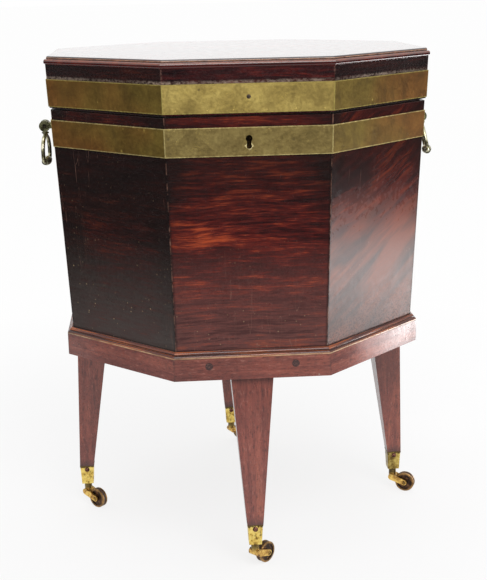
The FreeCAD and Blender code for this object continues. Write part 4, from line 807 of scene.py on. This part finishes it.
def domed_head(radius, rise, slot):
    """A low dome on the plane z = 0, with a straight driver slot of the given width across it, or none."""
    shape = bmesh.new()
    loops = []
    for ring in range(DOME_RINGS):
        angle = ring / DOME_RINGS * math.pi / 2
        loop = [shape.verts.new((radius * math.cos(angle) * math.cos(math.tau * turn / DOME_TURNS),
                                 radius * math.cos(angle) * math.sin(math.tau * turn / DOME_TURNS),
                                 rise * math.sin(angle))) for turn in range(DOME_TURNS)]
        loops.append(loop)
    crown = shape.verts.new((0.0, 0.0, rise))
    for lower, upper in zip(loops, loops[1:]):
        for turn in range(DOME_TURNS):
            after = (turn + 1) % DOME_TURNS
            shape.faces.new((lower[turn], lower[after], upper[after], upper[turn]))
    for turn in range(DOME_TURNS):
        shape.faces.new((loops[-1][turn], loops[-1][(turn + 1) % DOME_TURNS], crown))
    shape.faces.new(loops[0][::-1])
    if slot:
        for side in (-1, 1):
            everything = shape.verts[:] + shape.edges[:] + shape.faces[:]
            cut = (side * slot / 2, 0, 0)
            bmesh.ops.bisect_plane(shape, geom=everything, plane_co=cut, plane_no=(1, 0, 0))
        middles = [(face, face.calc_center_median()) for face in shape.faces]
        strip = [face for face, middle in middles
                 if abs(middle.x) < slot / 2 and middle.z > rise * SLOT_REACH]
        raised = bmesh.ops.extrude_face_region(shape, geom=strip)["geom"]
        bmesh.ops.delete(shape, geom=strip, context="FACES_ONLY")
        for vert in (item for item in raised if isinstance(item, bmesh.types.BMVert)):
            vert.co.z = rise * SLOT_FLOOR
    return shape


def heads(name, places, radius, rise, body, slot=0.0, turn=0.0):
    """One piece of equal heads. Each place is a point and the way its head looks."""
    mesh = bpy.data.meshes.new(name)
    whole = bmesh.new()
    for count, (point, outward) in enumerate(places):
        head = domed_head(radius, rise, slot)
        spin = Matrix.Rotation(turn + HEAD_SPIN * count, 4, "Z")
        aim = Vector(outward).to_track_quat("Z", "Y").to_matrix().to_4x4()
        head.transform(Matrix.Translation(point) @ aim @ spin)
        single = bpy.data.meshes.new("head")
        head.to_mesh(single)
        head.free()
        whole.from_mesh(single)
        bpy.data.meshes.remove(single)
    whole.to_mesh(mesh)
    whole.free()
    mesh.shade_smooth()
    piece = bpy.data.objects.new(name, mesh)
    bpy.context.scene.collection.objects.link(piece)
    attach(piece, body)
    return piece


def band_pins(name, node, level, offsets, body):
    """Small round pins that hold a brass band, the same on each of the eight sides."""
    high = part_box(node)[1]
    reach = high.x - TAPER * (high.z - level) - PIN_SUNK
    places = []
    for side in range(SIDES):
        angle = FACET * side
        out = Vector((math.sin(angle), -math.cos(angle), 0.0))
        along = Vector((math.cos(angle), math.sin(angle), 0.0))
        outward = out - Vector((0, 0, TAPER))
        places += [(out * reach + along * offset + Vector((0, 0, level)), outward) for offset in offsets]
    return heads(name, places, PIN_RADIUS, PIN_RISE, body)


def cup_screw_heads():
    """Slotted heads on the front and back screws of each castor cup."""
    low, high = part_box("castor_screws")
    level = (low.z + high.z) / 2
    front_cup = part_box("castor_socket_front")
    reach = (front_cup[0].y + front_cup[1].y) / 2 - low.y
    places = []
    for foot in FEET:
        middle = sum(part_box(f"castor_socket_{foot}"), Vector()) / 2
        places += [(Vector((middle.x, middle.y + side * reach, level)), (0, side, 0)) for side in (-1, 1)]
    return heads("castor_screw_heads", places, radius=0.0033, rise=0.0011, body="stand",
                 slot=0.0008, turn=0.5)


def band_screw_head():
    """The slotted screw in the middle of the upper band."""
    low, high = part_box("lid_band_screw")
    place = (Vector((0.0, low.y + BAND_SCREW_SUNK, (low.z + high.z) / 2)), (0.0, -1.0, -TAPER))
    return heads("lid_band_screw_head", [place], radius=0.0024, rise=0.0008, body="lid",
                 slot=0.0006, turn=0.9)


# ---------------- dressing

# Every look by its name; a look with a slot's name dresses the slot.
LOOKS = {
    "case_mahogany": case_wood(),
    "lid_mahogany": lid_wood(),
    "board": board_wood(),
    "stand_mahogany": stand_wood("stand_mahogany", False),
    "leg": stand_wood("leg_mahogany", True),
    "rim": rim_wood(),
    "oak": oak(),
    "pellet": pellet_wood(),
    # The bands' polish factors brighten the front as painted light.
    "case_band": band_brass("case_band_brass", BAND_FOOT, BAND_TOP, pale=srgb(236, 216, 146),
                            polish=(1.04, 1.06, 1.16, 1.0), scuffs=0.25, keyhole=True),
    "lid_band": band_brass("lid_band_brass", LID_BAND_FOOT, LID_BAND_TOP, pale=srgb(204, 186, 104),
                           polish=(1.82, 1.86, 1.74, 1.0), scuffs=0.60),
    "cup_brass": cup_brass(),
    "horn": horn_brass(),
    **{f"wheel_{foot}": wheel_brass(foot) for foot in FEET},
    "tread_leather": leather(),
    "lead": lead(),
    "dark_steel": steel(),
}
# Bright, middle and dark colour, share of tarnish, scale of its clouds, roughness where rubbed.
for name, given in {
    "castor_brass": ((206, 168, 90), (140, 108, 54), (58, 44, 28), 0.45, 90.0, 0.3),
    "handle_brass": ((226, 222, 198), (172, 168, 132), (84, 80, 58), 0.2, 160.0, 0.13),
    "handle_post_brass": ((200, 198, 158), (142, 140, 104), (70, 68, 46), 0.3, 200.0, 0.2),
    "handle_pin_brass": ((92, 84, 62), (62, 56, 42), (34, 32, 26), 0.5, 300.0, 0.3),
    "screw_brass": ((158, 112, 96), (106, 70, 58), (54, 34, 30), 0.3, 400.0, 0.3),
    "lock_brass": ((132, 104, 56), (84, 64, 36), (36, 28, 18), 0.5, 90.0, 0.3),
}.items():
    LOOKS[name] = plain_brass(name, *given)

LOOK_OF_NODE = {
    "lid_board": "board",
    "stand_moulding": "rim",
    "case_band": "case_band",
    "lid_band": "lid_band",
    "rail_pellets": "pellet",
    "castor_screws": "screw_brass",
    "handle_posts": "handle_post_brass",
    "handle_pins": "handle_pin_brass",
    "handle_roses": "handle_post_brass",
    **{f"leg_{foot}": "leg" for foot in FEET},
    **{f"castor_horn_{foot}": "horn" for foot in FEET},
    **{f"castor_wheel_{foot}": f"wheel_{foot}" for foot in FEET},
}
# The width that each sharp node's edges are rounded over.
SOFT_EDGES = {
    "stand_rails": 0.0007,
    "stand_moulding": 0.0003,
    "lid_board": 0.0004,
    "lid_rails": 0.0004,
    **{f"leg_{foot}": 0.0006 for foot in FEET},
    **{f"panel_{side}": 0.0005 for side in PANELS},
    **{f"castor_socket_{foot}": 0.0004 for foot in FEET},
    **{f"castor_horn_{foot}": 0.0005 for foot in FEET},
}
# Where the pins sit along each side, from its middle.
LID_BAND_PINS = (-0.086, -0.049, -0.018, 0.021, 0.056, 0.090)
CASE_BAND_PINS = (-0.088, -0.046, 0.024, 0.058, 0.089)


def dress(piece, look):
    piece.data.materials.clear()
    piece.data.materials.append(LOOKS[look])


for node, thing in frame["nodes"].items():
    look = LOOK_OF_NODE.get(node, slot_of_node[node])
    for material_slot in thing.material_slots:
        material_slot.material = LOOKS[look]
    if node in SOFT_EDGES:
        dress(softened(node, SOFT_EDGES[node]), look)

dress(cup_screw_heads(), "screw_brass")
dress(band_screw_head(), "dark_steel")
dress(band_pins("lid_band_pins", "lid_band", LID_BAND_FOOT + PIN_INSET, LID_BAND_PINS, "lid"), "lid_band")
dress(band_pins("case_band_pins", "case_band", BAND_TOP - PIN_INSET, CASE_BAND_PINS, "case"), "case_band")


# ---------------- floor, light and camera

FLOOR_HALF = 60.0
FLOOR_LEVEL = -0.0002
# Where the paper fades out in front of the object, at its left and at its right.
PAPER_FRONT = (-1.50, -0.60)
PAPER_LEFT = (-1.45, -0.60)
PAPER_RIGHT = (1.15, 1.50)
# Light that reflections find on the dark studio floor beyond the paper, against 1 on the paper.
BEYOND_PAPER = 0.04
# The world's light on the object, against 1 for what the camera and reflections see.
SKY_LIGHT = 0.55

CAMERA_PLACE = (-0.11443, -1.65054, 0.73307)
CAMERA_YAW = math.radians(4.2354)
CAMERA_PITCH = math.radians(14.183)
CAMERA_ROLL = math.radians(-1.083)
CAMERA_LENS = 74.415
SENSOR_WIDTH = 36.0


def seen_directly(shader):
    """1 for rays of the camera, mirror reflections and clear glass, and 1 for rays of the camera alone."""
    path = shader.add("ShaderNodeLightPath")
    by_camera = path.outputs["Is Camera Ray"]
    mirrored = shader.highest(path.outputs["Is Glossy Ray"], path.outputs["Is Transmission Ray"])
    return shader.highest(by_camera, mirrored), by_camera


def stage_floor():
    """White paper that ends about a metre in front of the object and at its sides, on a darker studio floor
    that only reflections see. The camera sees white everywhere, and the object's shadow."""
    mesh = bpy.data.meshes.new("floor")
    shape = bmesh.new()
    corners = ((-1, -1), (1, -1), (1, 1), (-1, 1))
    shape.faces.new([shape.verts.new((x * FLOOR_HALF, y * FLOOR_HALF, FLOOR_LEVEL)) for x, y in corners])
    shape.to_mesh(mesh)
    shape.free()
    floor = bpy.data.objects.new("floor", mesh)
    bpy.context.scene.collection.objects.link(floor)
    shader = Material("floor_paper")
    x, y, _ = shader.split(shader.place)
    paper = shader.times(shader.span(y, *PAPER_FRONT, BEYOND_PAPER, 1.0, smooth=True),
                         shader.span(x, *PAPER_LEFT, BEYOND_PAPER, 1.0, smooth=True),
                         shader.span(x, *PAPER_RIGHT, 1.0, BEYOND_PAPER, smooth=True))
    seen, by_camera = seen_directly(shader)
    grain = shader.noise(shader.place, 3.0, 2.0)
    white = shader.ramp(grain, [(0.3, 236, 236, 237), (0.7, 242, 242, 243)])
    shader.surface(white, 0.9, Specular_IOR_Level=0.1)
    glow = shader.add("ShaderNodeEmission")
    shader.feed(glow.inputs["Strength"], shader.highest(by_camera, paper))
    away = shader.add("ShaderNodeVectorMath", operation="LENGTH")
    shader.feed(away.inputs[0], shader.place)
    # The paper glows less near the object, where its shadow falls.
    share = shader.times(seen, shader.span(away.outputs["Value"], 0.45, 1.15, 0.8, 0.97))
    blend = shader.add("ShaderNodeMixShader")
    shader.feed(blend.inputs[0], share)
    shader.feed(blend.inputs[1], shader.principled.outputs[0])
    shader.feed(blend.inputs[2], glow.outputs[0])
    shader.feed(shader.output.inputs[0], blend.outputs[0])
    floor.data.materials.append(shader.material)


def studio_world():
    """White to the camera, to reflections and through glass; a softer grey as the light on the object."""
    world = bpy.data.worlds.new("studio")
    world.use_nodes = True
    shader = Shader(world.node_tree)
    shader.tree.nodes.clear()
    background = shader.add("ShaderNodeBackground")
    shader.feed(background.inputs["Color"], (1.0, 1.0, 1.0, 1.0))
    shader.feed(background.inputs["Strength"], shader.between(seen_directly(shader)[0], SKY_LIGHT, 1.0))
    output = shader.add("ShaderNodeOutputWorld")
    shader.feed(output.inputs[0], background.outputs[0])
    bpy.context.scene.world = world


def softbox(name, place, aim, width, height, power):
    lamp = bpy.data.lights.new(name, "AREA")
    lamp.shape = "RECTANGLE"
    lamp.size = width
    lamp.size_y = height
    lamp.energy = power
    thing = bpy.data.objects.new(name, lamp)
    bpy.context.scene.collection.objects.link(thing)
    thing.location = place
    thing.rotation_euler = (Vector(aim) - Vector(place)).to_track_quat("-Z", "Y").to_euler()
    thing.visible_camera = False


def photo_camera():
    """The photograph's viewpoint: a 74 mm lens 11 cm left of the keyhole's axis, turned 4 degrees to the
    right and 14 degrees down."""
    forward = Vector((math.sin(CAMERA_YAW) * math.cos(CAMERA_PITCH),
                      math.cos(CAMERA_YAW) * math.cos(CAMERA_PITCH), -math.sin(CAMERA_PITCH)))
    right = forward.cross(Vector((0, 0, 1))).normalized()
    up = right.cross(forward)
    tilted_right = right * math.cos(CAMERA_ROLL) + up * math.sin(CAMERA_ROLL)
    tilted_up = up * math.cos(CAMERA_ROLL) - right * math.sin(CAMERA_ROLL)
    camera = bpy.data.objects.new("camera", bpy.data.cameras.new("camera"))
    bpy.context.scene.collection.objects.link(camera)
    camera.data.lens = CAMERA_LENS
    camera.data.sensor_width = SENSOR_WIDTH
    turn = Matrix((tilted_right, tilted_up, -forward)).transposed()
    camera.matrix_world = Matrix.Translation(CAMERA_PLACE) @ turn.to_4x4()
    bpy.context.scene.camera = camera


stage_floor()
studio_world()
softbox("key", place=(0.5, -2.0, 2.2), aim=(0.0, 0.0, 0.3), width=1.6, height=1.6, power=40.0)
softbox("side", place=(1.0, 0.10, 0.08), aim=(0.2, 0.0, 0.20), width=1.1, height=0.16, power=4.4)
softbox("back", place=(0.0, 3.2, 1.25), aim=(0.0, 0.0, 0.6), width=3.2, height=1.2, power=1.5)
softbox("top", place=(-0.2, 0.4, 2.6), aim=(0.0, 0.0, 0.3), width=2.0, height=2.0, power=18.0)
photo_camera()
bpy.context.scene.view_settings.view_transform = "Standard"
